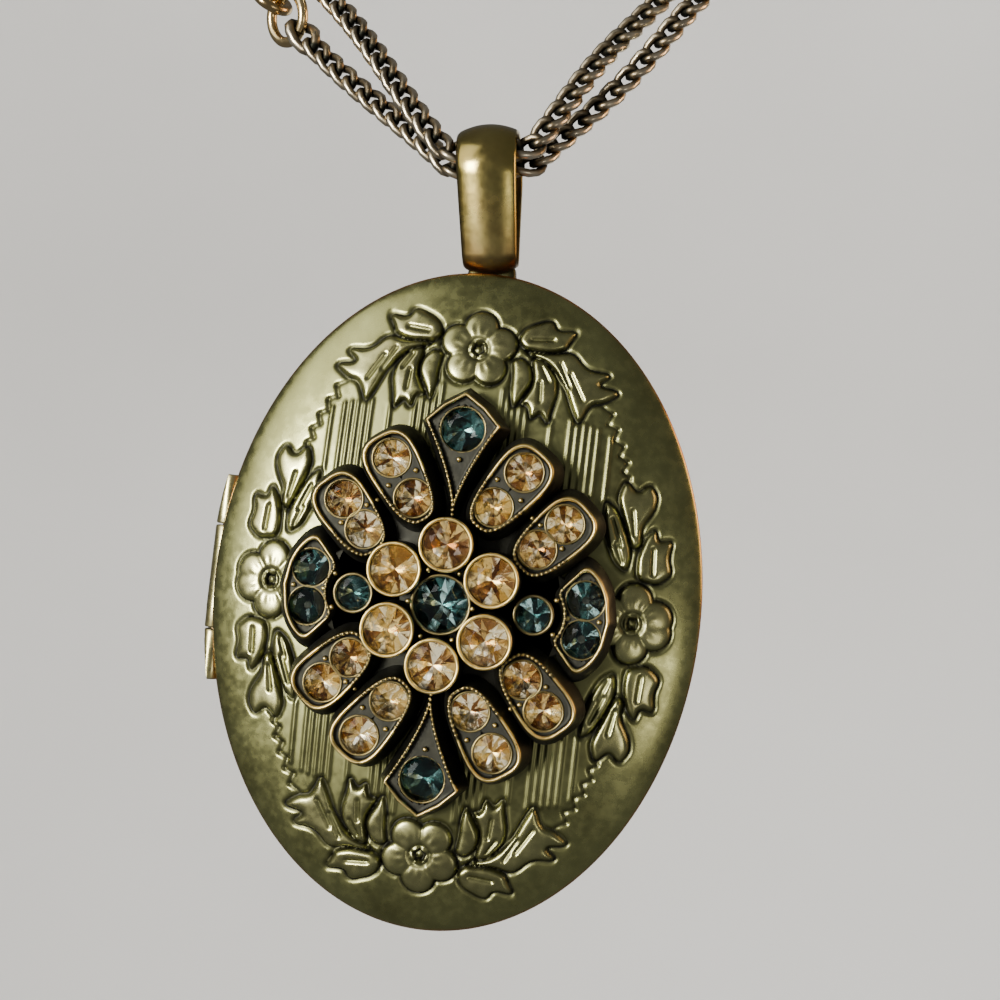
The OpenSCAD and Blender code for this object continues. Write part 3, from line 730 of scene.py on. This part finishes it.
def kite(trim):
    """A drop with a long hollow-sided tail and a pointed crest, about the z axis."""
    tail, shoulder, tip, wide = 5.6, 11.7, 13.7, 2.45
    foot, t = tail + 1.6 * trim, np.linspace(0, 1, 24)
    x = np.maximum(0.02, wide * t ** 1.5 - trim * (0.4 + 0.6 * t))
    crest = [[(wide - trim) * 0.56, (shoulder + tip) / 2 + 0.12 - trim * 0.7], [0, tip - trim]]
    side = np.concatenate([np.stack([x, foot + (shoulder - foot) * t], -1), crest])
    return np.concatenate([side, side[-2::-1] * (-1, 1)])


def fan(trim):
    """A sector about the side stone, 50 degrees to each side, with its corners rounded off: the
    angle and the radius follow a superellipse of power 7."""
    out, up = power(np.cos(turns(200)), 2 / 7), power(np.sin(turns(200)), 2 / 7)
    radius, angle = 3.375 + (1.475 - trim) * out, np.radians(50 - trim * 14) * up
    return np.stack([radius * np.cos(angle) + SIDE_X, radius * np.sin(angle)], -1)


LEFT_AND_RIGHT, UP_AND_DOWN = [(1, 1), (-1, 1)], [(1, 1), (1, -1)]
QUARTERS = LEFT_AND_RIGHT + [(1, -1), (-1, -1)]
PARTS = [(petal(6.3, 1.35, 2.0, (3.5, 7.72), -35), 6.25, QUARTERS, lambda x, z: 0.57 * x + 0.82 * z < 8.0),
         (petal(5.8, 1.5, 1.95, (6.6, 5.0), -42), 5.75, QUARTERS, lambda x, z: 0.67 * x + 0.74 * z < 7.9),
         (kite, 5.85, UP_AND_DOWN, lambda x, z: z < 11.3),
         (fan, 4.95, LEFT_AND_RIGHT, lambda x, z: np.hypot(x - SIDE_X, z) < 2.6)]
print("Raised parts of the casting:", sum(len(mirrors) for _, _, mirrors, _ in PARTS))

# %% [markdown]
# The stones' solids say where each setting goes: a box's middle is the stone's middle, its width
# the diameter, and its front the table. A round brilliant's proportions then give the girdle.

# %% Stones, measured from the frame
CROWN_SHARE, BELT_SHARE, PAVILION_SHARE = 0.16, 0.03, 0.36
OWN_COLLET = ("centre", "bezel", "side")


def measured(name):
    """Middle x and z, diameter and girdle height of a stone's solid, in mm from the middle."""
    low, high = (np.array(corner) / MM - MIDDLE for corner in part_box(name))
    wide = high[0] - low[0]
    x, _, z = (low + high) / 2
    return {"name": name, "x": x, "z": z, "d": wide, "girdle": -low[1] - (CROWN_SHARE + BELT_SHARE) * wide}


STONES = [measured(name) for name in sorted(frame["nodes"]) if "_stone_" in name]
print(len(STONES), "stones, from", round(min(s["d"] for s in STONES), 2), "to",
      round(max(s["d"] for s in STONES), 2), "mm across")

# %% [markdown]
# A dish has a real pit under each stone, because the foiled back of the stone hangs below the
# floor. The floor's rings shrink to the middle, and wherever a ring point falls inside a
# stone's circle it is pushed down.

# %% Raised parts
SKIRT = [(-0.52, 0, 1), (-0.50, 0.18, 1), (-0.38, 0.40, 0.9), (-0.22, 0.64, 0.7), (-0.08, 0.84, 0.5)]
LIP = [(0, 0.14, 0.2, 0.2), (0.02, 0.06, 0, 0.9), (0.07, 0.01, 0, 1), (0.12, 0, 0, 1), (0.17, 0.02, 0, 0.9),
       (0.21, 0.07, 0.2, 0.5), (PETAL_RIM, 0.15, 0.8, 0), (PETAL_RIM + 0.02, DISH - 0.06, 1, 0),
       (PETAL_RIM + 0.10, DISH, 0.9, 0)]
FLOOR_RINGS, FLOOR_SOOT, BEADED_RUB = 16, 0.85, 0.12
PIT_ROOM, CUP_ROOM = 0.2, 0.1


def raised_part(outline, top, mirror, beaded, around=120):
    """The skin of a raised part. Each row of points has a trim, a height, a darkening and a rub: the
    skirt's from its share of the height, the lip's from its drop below the top, then the floor's."""
    rows = [(trim, MEDALLION_BACK + share * (top - MEDALLION_BACK), darkening, 0) for trim, share, darkening in SKIRT]
    rows += [(trim, top - drop, darkening, rub) for trim, drop, darkening, rub in LIP]
    rings = np.array([even(outline(row[0]), around) for row in rows])
    shrink = np.linspace(0.94, 0.06, FLOOR_RINGS)[:, None, None]
    middle = rings[-1].mean(0)
    flat = np.concatenate([rings, middle + (rings[-1] - middle) * shrink])
    rows += [(0, top - DISH, FLOOR_SOOT, 0)] * FLOOR_RINGS
    _, height, darkening, rub = np.transpose(rows)[..., None]
    rub = rub * np.where(beaded(flat[..., 0], flat[..., 1]), BEADED_RUB, 1.0)
    x, z = np.moveaxis(flat * mirror, -1, 0)
    inside = np.arange(len(rows))[:, None] > len(SKIRT + LIP) - 3
    for s in STONES:
        pit = s["girdle"] - PAVILION_SHARE * s["d"] - PIT_ROOM
        near = np.hypot(x - s["x"], z - s["z"]) < s["d"] / 2 + 0.06
        height = np.where(inside & near, np.minimum(height, pit), height)
    return skin(xyz(x, -height, z), oxide_and_shade=darkening, rub=rub)


def turned_part(profile, x, z, around=44):
    """A skin turned about the line through x and z: rows of (radius, height, soot, rub)."""
    radius, height, darkening, rub = np.transpose(profile)[..., None]
    across, rise = circles(radius, around)
    return skin(xyz(x + across, -height, z + rise), oxide_and_shade=darkening, rub=rub)


def setting(s):
    """A tube under a stone with a rolled lip round its girdle and a cup below it."""
    wall, lip = (0.22, 0.14) if s["name"].startswith(OWN_COLLET) else (0.14, 0.05)
    bright = 1.0 if s["name"].startswith("bezel") else 0.25
    inner, top, roll = s["d"] / 2 + 0.02, s["girdle"] + BELT_SHARE * s["d"] + lip, wall / 2
    outer, cup = inner + wall, s["girdle"] - PAVILION_SHARE * s["d"] - CUP_ROOM
    profile = [(outer, MEDALLION_BACK + 0.05, 1, 0), (outer, top - 0.5, 0.8, 0),
               (outer, top - roll - 0.08, 0.5, 0)]
    profile += [(inner + roll * (1 + math.cos(a)), top - roll * (1 - math.sin(a)), 0, bright)
                for a in np.linspace(0.1, math.pi - 0.1, 9)]
    profile += [(inner, top - roll - 0.05, 0.9, 0), (inner, cup, 1, 0), (0.3 * inner, cup - 0.05, 1, 0)]
    return turned_part(profile, s["x"], s["z"])


def disc(x, r):
    """A plate under the stones, its edge broken, about the line through x."""
    rows = [(r * 0.3, 0, 1), (r - 0.1, 0, 1), (r, 0.1, 1), (r, BASE - 0.15, 0.9), (r - 0.12, BASE, 0.8),
            (r * 0.3, BASE, 0.9)]
    return turned_part([(out, MEDALLION_BACK + rise, darkening, 0) for out, rise, darkening in rows], x, 0, around=96)


casting = [raised_part(outline, top, mirror, beaded)
           for outline, top, mirrors, beaded in PARTS for mirror in mirrors]
casting += [setting(s) for s in STONES]
casting += [disc(0, 7.7), disc(SIDE_X, 3.0), disc(-SIDE_X, 3.0)]

# %% [markdown]
# Milgrain is a row of tiny beads along an edge. It runs along the inner half of each petal's rim,
# down both sides of a kite to its tail and along the inner arc of a fan. Larger single beads
# are prongs: they stand at the waist between two stones and round the middle stone.

# %% Beads
GRAIN_R, GRAIN_STEP, PRONG_R, WAIST = 0.115, 0.31, 0.19, 1.02


def bead(x, height, z, r):
    """A low ball of a few dozen faces."""
    lift = np.radians(np.linspace(-70, 70, 5))[:, None]
    across, rise = circles(r * np.cos(lift), 8)
    return skin(xyz(x + across, -height - r * np.sin(lift), z + rise),
                rub=np.clip(np.sin(lift), 0, 1) * 0.9, oxide_and_shade=np.clip(-np.sin(lift), 0, 1))


def mirrored(x, z, height, mirrors, r=PRONG_R):
    """A bead in each quarter that mirrors name."""
    return [bead(x * mx, height, z * mz, r) for mx, mz in mirrors]


def grain_line(outline, top, mirrors, beaded):
    """Beads at equal steps along the rim, where beaded says so of the unmirrored place."""
    line = outline(PETAL_RIM / 2)
    length = np.linalg.norm(np.diff(line, axis=0, append=line[:1]), axis=1).sum()
    places = [place for place in even(line, int(length / GRAIN_STEP)) if beaded(*place)]
    return sum((mirrored(x, z, top + 0.02, mirrors, GRAIN_R) for x, z in places), [])


beads = sum((grain_line(*part) for part in PARTS), [])
PAIRS = [((2.62, 6.54), (4.32, 8.97), 5.95), ((5.66, 4.18), (7.23, 6.0), 5.45),
         ((9.08, 1.26), (9.08, -1.26), 4.65)]
for a, b, floor in PAIRS:
    middle, along = np.add(a, b) / 2, np.subtract(b, a) / np.linalg.norm(np.subtract(b, a))
    for side in (1, -1):
        x, z = middle + side * WAIST * np.array([along[1], -along[0]])
        beads += mirrored(x, z, floor, QUARTERS if z > 0.01 else LEFT_AND_RIGHT)
PRONGS = [((1.02, 2.12), 6.5, QUARTERS), ((2.08, 0.0), 6.45, LEFT_AND_RIGHT), ((5.1, 6.15), 5.15, QUARTERS),
          ((4.45, 0.95), 5.4, QUARTERS), ((7.25, 1.1), 5.2, QUARTERS), ((0.0, 9.35), 5.6, UP_AND_DOWN)]
beads += sum((mirrored(x, z, height, mirrors) for (x, z), height, mirrors in PRONGS), [])
print(len(beads), "beads")
make_piece("medallion_casting", casting + beads, cast_brass, "lid", ["medallion"], crisp=60)

# %% [markdown]
# ## Crystal
# Such a stone is cut glass with a mirror foil on its back. Light goes in through the crown, is
# thrown back by the foil and leaves through another facet, which is what makes it sparkle. It
# is built that way: a clear, tinted crown and a metallic back. The foil's facets also carry
# painted colours, from dark facets to painted glints.

# %% Finishes of the stones
def crystal(name, tint):
    """Clear tinted glass for the crown."""
    finish, tree, shader = new_finish(name, Transmission_Weight=1.0, IOR=1.56)
    film = between(tree, cloud(tree, 1800, 4.0), 0.35, 0.75, 0.0, 0.035)
    patches = between(tree, cloud(tree, 500), 0.3, 0.7)
    deeper = tuple(0.93 * c for c in tint)
    plug(tree, shader, Roughness=film, Base_Color=blend_colours(tree, patches, tint, deeper))
    return finish


def foil(name, dark, middling, bright, few):
    """The foiled back seen through the glass: a mirror whose facets get painted colours from dark to
    a bright painted glint by their own random number, standing in for the part of the room that
    each throws back. few is where the painted glint starts."""
    finish, tree, shader = new_finish(name, Metallic=1.0, Roughness=0.14)
    painted_glint = on_points(tree, "painted_glint")
    colour = blend_colours(tree, between(tree, painted_glint, 0.1, few), dark, middling)
    plug(tree, shader, Base_Color=blend_colours(tree, between(tree, painted_glint, few, few + 0.15), colour, bright))
    return finish


CUTS = {
    "topaz_crystal": (crystal("topaz_glass", (1.0, 0.97, 0.90)),
                      foil("topaz_foil", (0.20, 0.088, 0.022), (0.88, 0.69, 0.29), (1.0, 0.97, 0.84), 0.52)),
    "teal_crystal": (crystal("teal_glass", (0.88, 0.98, 0.94)),
                     foil("teal_foil", (0.006, 0.022, 0.027), (0.065, 0.15, 0.145), (0.78, 0.93, 0.95), 0.74)),
}

# %% [markdown]
# A brilliant has a table, stars, kites and girdle facets in front, and halves and mains behind.
# Kites and mains have their four corners in one plane. For a kite, that plane holds the table
# corner and the girdle corner, so the height of a star tip follows from the slope between them.

# %% Cut stones
TABLE, STAR, LOWER = 0.56, 0.77, 0.28
SPIN = 37.0


def ring(radius, height, count, start=0.0):
    """Corners of a regular outline: count points at a radius and height."""
    x, y = circles(radius, count)
    return xyz(*turned(np.stack([x[0], y[0]], -1), start, 0).T, height)


def brilliant(d):
    """Corners and flat faces of a round brilliant of diameter d, its girdle at height 0."""
    r, crown, belt, pavilion = d / 2, CROWN_SHARE * d, BELT_SHARE * d, PAVILION_SHARE * d
    half_step = math.cos(math.radians(22.5))
    star_height = belt + crown * (1 - (STAR * half_step - TABLE) / (1 - TABLE))
    lower_height = -pavilion * (1 - LOWER * half_step)
    corners = np.concatenate([
        ring(r * TABLE, belt + crown, 8), ring(r * STAR, star_height, 8, 22.5), ring(r, belt, 16),
        ring(r, 0, 16), ring(r * LOWER, lower_height, 8, 22.5), [[0, 0, -pavilion]]])
    i, k = np.arange(8), np.arange(16)
    j, before, after = (i + 1) % 8, (i - 1) % 8, (k + 1) % 16
    star, lower, top, belt_i, belt_j = 8 + i, 48 + i, 16 + 2 * i, 32 + 2 * i, 32 + 2 * j
    front = [tuple(i), *zip(i, star, j), *zip(i, 8 + before, top, star), *zip(star, top, top + 1),
             *zip(star, top + 1, 16 + 2 * j), *zip(16 + k, 32 + k, 32 + after, 16 + after)]
    rear = [*zip(belt_i, lower, belt_i + 1), *zip(belt_i + 1, lower, belt_j),
            *zip(belt_i, 48 + before, 56 + 0 * i, lower)]
    return corners, front, rear


chance = np.random.default_rng(11)
for number, s in enumerate(STONES):
    corners, front, rear = brilliant(s["d"])
    x, z = turned(corners[:, :2], SPIN * number, (s["x"], s["z"])).T
    mesh = bpy.data.meshes.new(s["name"] + "_cut")
    faces = [tuple(int(n) for n in face) for face in front + rear]
    mesh.from_pydata(to_metres(xyz(x, -s["girdle"] - corners[:, 2], z)).tolist(), [], faces)
    colour = "topaz_crystal" if s["name"].startswith(("bezel", "petal")) else "teal_crystal"
    for finish in CUTS[colour]:
        mesh.materials.append(finish)
    mesh.polygons.foreach_set("material_index", np.repeat([0, 1], [len(front), len(rear)]).astype(np.int32))
    mesh.polygons.foreach_set("use_smooth", np.zeros(len(faces), bool))
    # Each facet's random number picks its painted colour on the foil, from dark to a painted glint.
    painted_glint = mesh.attributes.new("painted_glint", "FLOAT", "FACE")
    painted_glint.data.foreach_set("value", chance.random(len(faces)).astype(np.float32))
    mesh.update()
    gem = new_object(s["name"] + "_cut", mesh)
    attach(gem, "lid")
    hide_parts(s["name"])
print("Each stone has", len(front) + len(rear), "facets")

# %% [markdown]
# ## The chain
# The chain is 762 mm long and wound twice. Its path is worked out in the plane of the loop: s to
# the side and p up the slope, with l the length from the bail. A turn is a short straight run
# through the bail, a bend, a straight leg and a round back. The two turns lie side by side and
# change places behind the neck, so that the end meets the start.

# %% Path of the chain
TURN, RUN, BEND_R = 381.0, BAIL_W / 2 + 0.1, 1.3
SLOPE, LEG, LIFT_UP = math.radians(70), math.radians(38), 0.95
BEND = math.pi / 2 - LEG
BEND_LEN, BEND_S, BEND_P = BEND_R * BEND, RUN + BEND_R * math.sin(BEND), BEND_R * (1 - math.cos(BEND))
loop_r = (TURN - 2 * RUN - 2 * BEND_LEN + 2 * BEND_S / math.sin(LEG)) / (2 / math.tan(LEG) + math.pi + 2 * LEG)
leg_len = (loop_r * math.cos(LEG) - BEND_S) / math.sin(LEG)
centre_p = BEND_P + (loop_r - BEND_S * math.cos(LEG)) / math.sin(LEG)
APART = {"bail": 1.0, "left": 1.7, "right": 1.25}
BESIDE = {"bail": math.radians(-6), "left": math.radians(60), "right": math.radians(280)}
SPLIT_NEAR, SPLIT_LEN = 1.0, 19.0


def ease(t):
    """A smooth step from 0 to 1: t squared times (3 - 2t)."""
    t = np.clip(t, 0, 1)
    return t * t * (3 - 2 * t)


def mixed(a, b, t):
    """From a to b as t goes from 0 to 1."""
    return a + (b - a) * t


def half_turn(l):
    """Half of a turn at l from the bail: s, p and heading, by which stretch l lies in."""
    bent, along = (l - RUN) / BEND_R, l - RUN - BEND_LEN
    back_angle = (along - leg_len) / loop_r
    where = [l < RUN, bent < BEND, along < leg_len]
    s = np.select(where, [l, RUN + BEND_R * np.sin(bent), BEND_S + along * math.sin(LEG)],
                  loop_r * np.cos(back_angle - LEG))
    p = np.select(where, [0 * l, BEND_R * (1 - np.cos(bent)), BEND_P + along * math.cos(LEG)],
                  centre_p + loop_r * np.sin(back_angle - LEG))
    return s, p, np.select(where, [0 * l, bent, BEND + 0 * l], BEND + back_angle)


def chain_points(l):
    """Points of the chain at lengths l along it, in the loop's plane: s, p and off the plane."""
    number = np.floor(l / TURN + 1e-4)
    l, side = l - number * TURN, np.where(number % 2 == 0, 1, -1)
    far = l > TURN / 2
    s, p, heading = half_turn(np.where(far, TURN - l, l))
    start = RUN + BEND_LEN + leg_len
    behind = ease((l - start) / (TURN - 2 * start))
    left, right = ease((l - SPLIT_NEAR) / SPLIT_LEN), ease((TURN - l - SPLIT_NEAR) / SPLIT_LEN)
    angle = mixed(mixed(BESIDE["bail"], BESIDE["left"], left),
                  mixed(math.pi + BESIDE["bail"], BESIDE["right"], right), behind)
    apart = mixed(mixed(APART["bail"], APART["left"], left),
                  mixed(APART["bail"], APART["right"], right), behind)
    b, away = apart * np.cos(angle), side * apart * np.sin(angle)
    toward = np.where(far, 1, -1)
    return np.stack([toward * (s + away * np.sin(heading)), p - away * np.cos(heading), -side * b], -1)


def from_loop(points):
    """From the loop's plane to the locket's frame: tip by the slope, lift, lean to the left."""
    s, p, n = points[..., 0], points[..., 1], points[..., 2]
    y, z = p * math.cos(SLOPE) - n * math.sin(SLOPE), p * math.sin(SLOPE) + n * math.cos(SLOPE)
    return leaned(np.stack([s, y, z + PIVOT_UP + LIFT_UP], -1))


def unit(v):
    """Vectors at length 1."""
    return v / np.linalg.norm(v, axis=-1, keepdims=True)


print("The loop's back has a radius of", round(loop_r, 2), "mm and each leg is", round(leg_len, 2), "mm")

# %% [markdown]
# A curb link is an oval ring of round wire that is twisted, so that its two ends stand across
# each other and the links lie flat. Every link is the same small mesh, put at its own place on
# the path. All are worked out in one array: links, turns round the oval, turns round the wire.
# The last link is a larger one, so that the wire of the ring fits through it.

# %% Curb links
LINK_STEP, WIRE_D, LINK_W, TWIST = 1.6, 0.60, 1.88, math.radians(48)
LAST_SIZE, LAST_STEP, INTO_RING, INTO_CLASP = 1.3, 1.85, 0.58, 1.0
RING_AT, RING_R, RING_WIRE, EYE_R, LINK_GAP = 22.5, 1.8, 0.4, 1.25, 0.05
CLASP_END = RING_AT + 15.2
RUBBED_FROM, RUBBED_OVER, DARKER_INWARD_OVER = 0.66, 0.24, 0.3


def link_shape(long_steps=14, wire_steps=6):
    """One link: an oval of power 2.5 with a twist that grows along it, and its wire's skin."""
    half_long, half_wide = (LINK_STEP + WIRE_D) / 2 + 0.02, (LINK_W - WIRE_D) / 2
    t, a = turns(long_steps) + np.pi / long_steps, turns(wire_steps)[:, None]
    x, w = half_long * power(np.cos(t), 0.8), half_wide * power(np.sin(t), 0.8)
    twist = TWIST * x / half_long
    line = np.stack([x, w * np.cos(twist), w * np.sin(twist)], -1)
    along = unit(np.roll(line, -1, 0) - np.roll(line, 1, 0))
    outward = unit(np.cross(along, np.cross(line, along)))
    across = np.cross(along, outward)
    return line[:, None] + WIRE_D / 2 * (np.cos(a) * outward[:, None] + np.sin(a) * across[:, None])


first, last = CLASP_END + 4 * LINK_GAP + INTO_CLASP, 2 * TURN + RING_AT - RING_R - INTO_RING
count = round((last - LAST_STEP - first) / LINK_STEP) + 2
at = np.append(np.linspace(first, last - LAST_STEP, count - 1), last)
ahead = unit(chain_points(at + 0.4) - chain_points(at - 0.4))
sideways = unit(np.cross([0.0, 0.0, 1.0], ahead))
axes = np.stack([ahead, sideways, np.cross(ahead, sideways)], 1)
shape = link_shape()
size = np.where(at == last, LAST_SIZE, 1.0)[:, None, None, None]
links = from_loop(chain_points(at)[:, None, None] + size * (shape @ axes[:, None]))
# The wire is rubbed bright where it faces outwards and darker where it faces the chain's middle.
from_axis = np.hypot(shape[..., 1], shape[..., 2]) - RUBBED_FROM
rubbed, darker_inward = np.clip(from_axis / RUBBED_OVER, 0, 1), np.clip(-from_axis / DARKER_INWARD_OVER, 0, 1)
make_piece("curb_chain", [skin(one, joined=True, rub=rubbed, oxide_and_shade=darker_inward) for one in links],
           chain_brass, "chain", ["chain"])
print(count, "links, each", LINK_STEP, "mm on from the last")

# %% [markdown]
# The ring that ends the chain is a bent wire whose ends meet in a fine cut. The clasp that it
# holds is out of the photograph, so it is one plain closed piece: an eye, a neck and a body.

# %% Ring and clasp
CLASP_LOW, CLASP_R, NECK_R = 3.4, 1.35, 0.55
EYE_AT = RING_AT + RING_R + EYE_R - 2 * RING_WIRE - LINK_GAP


def wire_ring(r, wire, tilt, around=72, cut=0.0):
    """A ring of wire in the x-y plane, tilted about x, with a cut of that many degrees."""
    turn = np.radians(np.linspace(180 + cut / 2, 540 - cut / 2, around, endpoint=cut > 0))[:, None]
    out, c, s = r + wire * np.cos(turns(20)), math.cos(math.radians(tilt)), math.sin(math.radians(tilt))
    ring = xyz(out * np.cos(turn), out * np.sin(turn), wire * np.sin(turns(20)))
    return ring @ np.array([[1, 0, 0], [0, c, s], [0, -s, c]])


def from_leg(points, l):
    """Points drawn at l on the left leg, x up the chain and z off the loop, in the locket's frame."""
    here, before, after = chain_points(np.array([l, l - 0.05, l + 0.05]))
    x = unit((after - before) * (1, 1, 0))
    return from_loop(here + points @ np.stack([x, np.cross([0, 0, 1], x), [0, 0, 1]]))


jump_ring = skin(from_leg(wire_ring(RING_R, RING_WIRE, -45, cut=3.0), RING_AT), rub=0.15)
make_piece("chain_ring", [jump_ring], bright_brass, "chain", ["jump_ring"], crisp=60)

clasp_len = CLASP_END - EYE_AT - CLASP_LOW
along, radius = stretched([(EYE_R - CLASP_LOW, NECK_R), (0.05, NECK_R), (0.6, 1.1), (1.6, CLASP_R),
                           (clasp_len - 1.2, CLASP_R), (clasp_len - 0.4, 1.15), (clasp_len, 0.9)], 60)
clasp_rows = xyz(CLASP_LOW + along[:, None], *circles(radius, 40))
clasp_skins = [skin(from_leg(wire_ring(EYE_R, RING_WIRE, 45), EYE_AT), joined=True),
               skin(from_leg(clasp_rows, EYE_AT), rub=0.1)]
make_piece("chain_clasp", clasp_skins, bright_brass, "chain", ["clasp"], crisp=35)

# %% [markdown]
# The hinge pin keeps its own solid, a plain rod, and only takes a finish.

# %% Hinge pin
pin = frame["nodes"]["hinge_pin"]
pin.data.materials.clear()
pin.data.materials.append(hinge_brass)

# %% [markdown]
# ## Studio
# A jewel is shown in a round paper sweep: the floor curves up into a wall all round, so every
# view has the same plain background. The metal doesn't mirror that paper, or it would look flat
# and pale: it mirrors a dim room and a few soft windows.

# %% Sweep
FLOOR_DROP, SWEEP_R, CORNER_R, WALL_H, AROUND = 0.30, 1.1, 0.5, 1.85, 96
bend = np.radians(np.linspace(4, 90, 23))
flat_r = SWEEP_R - CORNER_R
radii = np.concatenate([[0.02, 0.4, flat_r], flat_r + CORNER_R * np.sin(bend), [SWEEP_R]])
heights = np.concatenate([[0, 0, 0], CORNER_R * (1 - np.cos(bend)), [WALL_H]])[:, None]
centre = to_metres((0, 0, 0))
x, y = circles(radii, AROUND)
sweep_points = xyz(centre[0] + x, centre[1] + y, CAD_BOX[0].z - FLOOR_DROP + heights).reshape(-1, 3)
sweep_faces = grid_faces(len(radii), AROUND).tolist() + [list(range(AROUND - 1, -1, -1))]
sweep_mesh = bpy.data.meshes.new("sweep")
sweep_mesh.from_pydata(sweep_points.tolist(), [], sweep_faces)
sweep_mesh.polygons.foreach_set("use_smooth", np.ones(len(sweep_faces), bool))
paper, tree, shader = new_finish("paper", Roughness=0.9)
patches = between(tree, cloud(tree, 3.0), 0.3, 0.7)
plug(tree, shader, Base_Color=blend_colours(tree, patches, (0.74, 0.73, 0.71), (0.70, 0.69, 0.67)))
sweep_mesh.materials.append(paper)
sweep = new_object("sweep", sweep_mesh)
sweep.visible_glossy = False

# %% [markdown]
# Each lamp has a place and a size in metres, about the locket, and a power in watts. The bright
# key and the wide window are at the left, where the photograph's light is. A weak fill keeps the
# right side readable, a warm lamp colours the right edge, and one lights the back. The large
# ceiling light, which the metal doesn't mirror, brightens the paper.

# %% Lights
def softbox(name, place, width, height, watts, colour, spread=90):
    """A rectangular area light that looks at the locket and isn't seen itself. Its grid keeps the
    light within the spread, in degrees, so that it leaves no edge on the paper."""
    lamp = bpy.data.lights.new(name, "AREA")
    lamp.shape, lamp.size, lamp.size_y = "RECTANGLE", width, height
    lamp.energy, lamp.color, lamp.spread = watts, colour, math.radians(spread)
    box = new_object(name, lamp)
    box.location = Vector(centre) + Vector(place)
    box.rotation_euler = Vector(place).to_track_quat("Z", "Y").to_euler()
    box.visible_camera = False
    return box


softbox("key", (-0.25, -0.38, 0.01), 0.11, 0.15, 0.95, (1.0, 0.98, 0.93))
softbox("wide", (-0.34, -0.28, 0.20), 0.30, 0.45, 0.24, (1.0, 0.99, 0.95))
softbox("fill", (0.34, -0.40, -0.12), 0.12, 0.12, 0.05, (1.0, 0.95, 0.88))
softbox("warm_edge", (0.42, 0.08, 0.14), 0.14, 0.24, 0.20, (1.0, 0.62, 0.34))
softbox("rear", (0.16, 0.46, 0.12), 0.30, 0.40, 0.14, (1.0, 0.98, 0.94))
ceiling = softbox("ceiling", (0.0, 0.10, 1.35), 1.5, 1.5, 26.0, (1.0, 0.99, 0.97), spread=180)
ceiling.visible_glossy = False

world = bpy.data.worlds.new("studio")
world.use_nodes = True
plug(world.node_tree, world.node_tree.nodes["Background"], Color=(0.80, 0.82, 0.85, 1), Strength=0.18)
bpy.context.scene.world = world
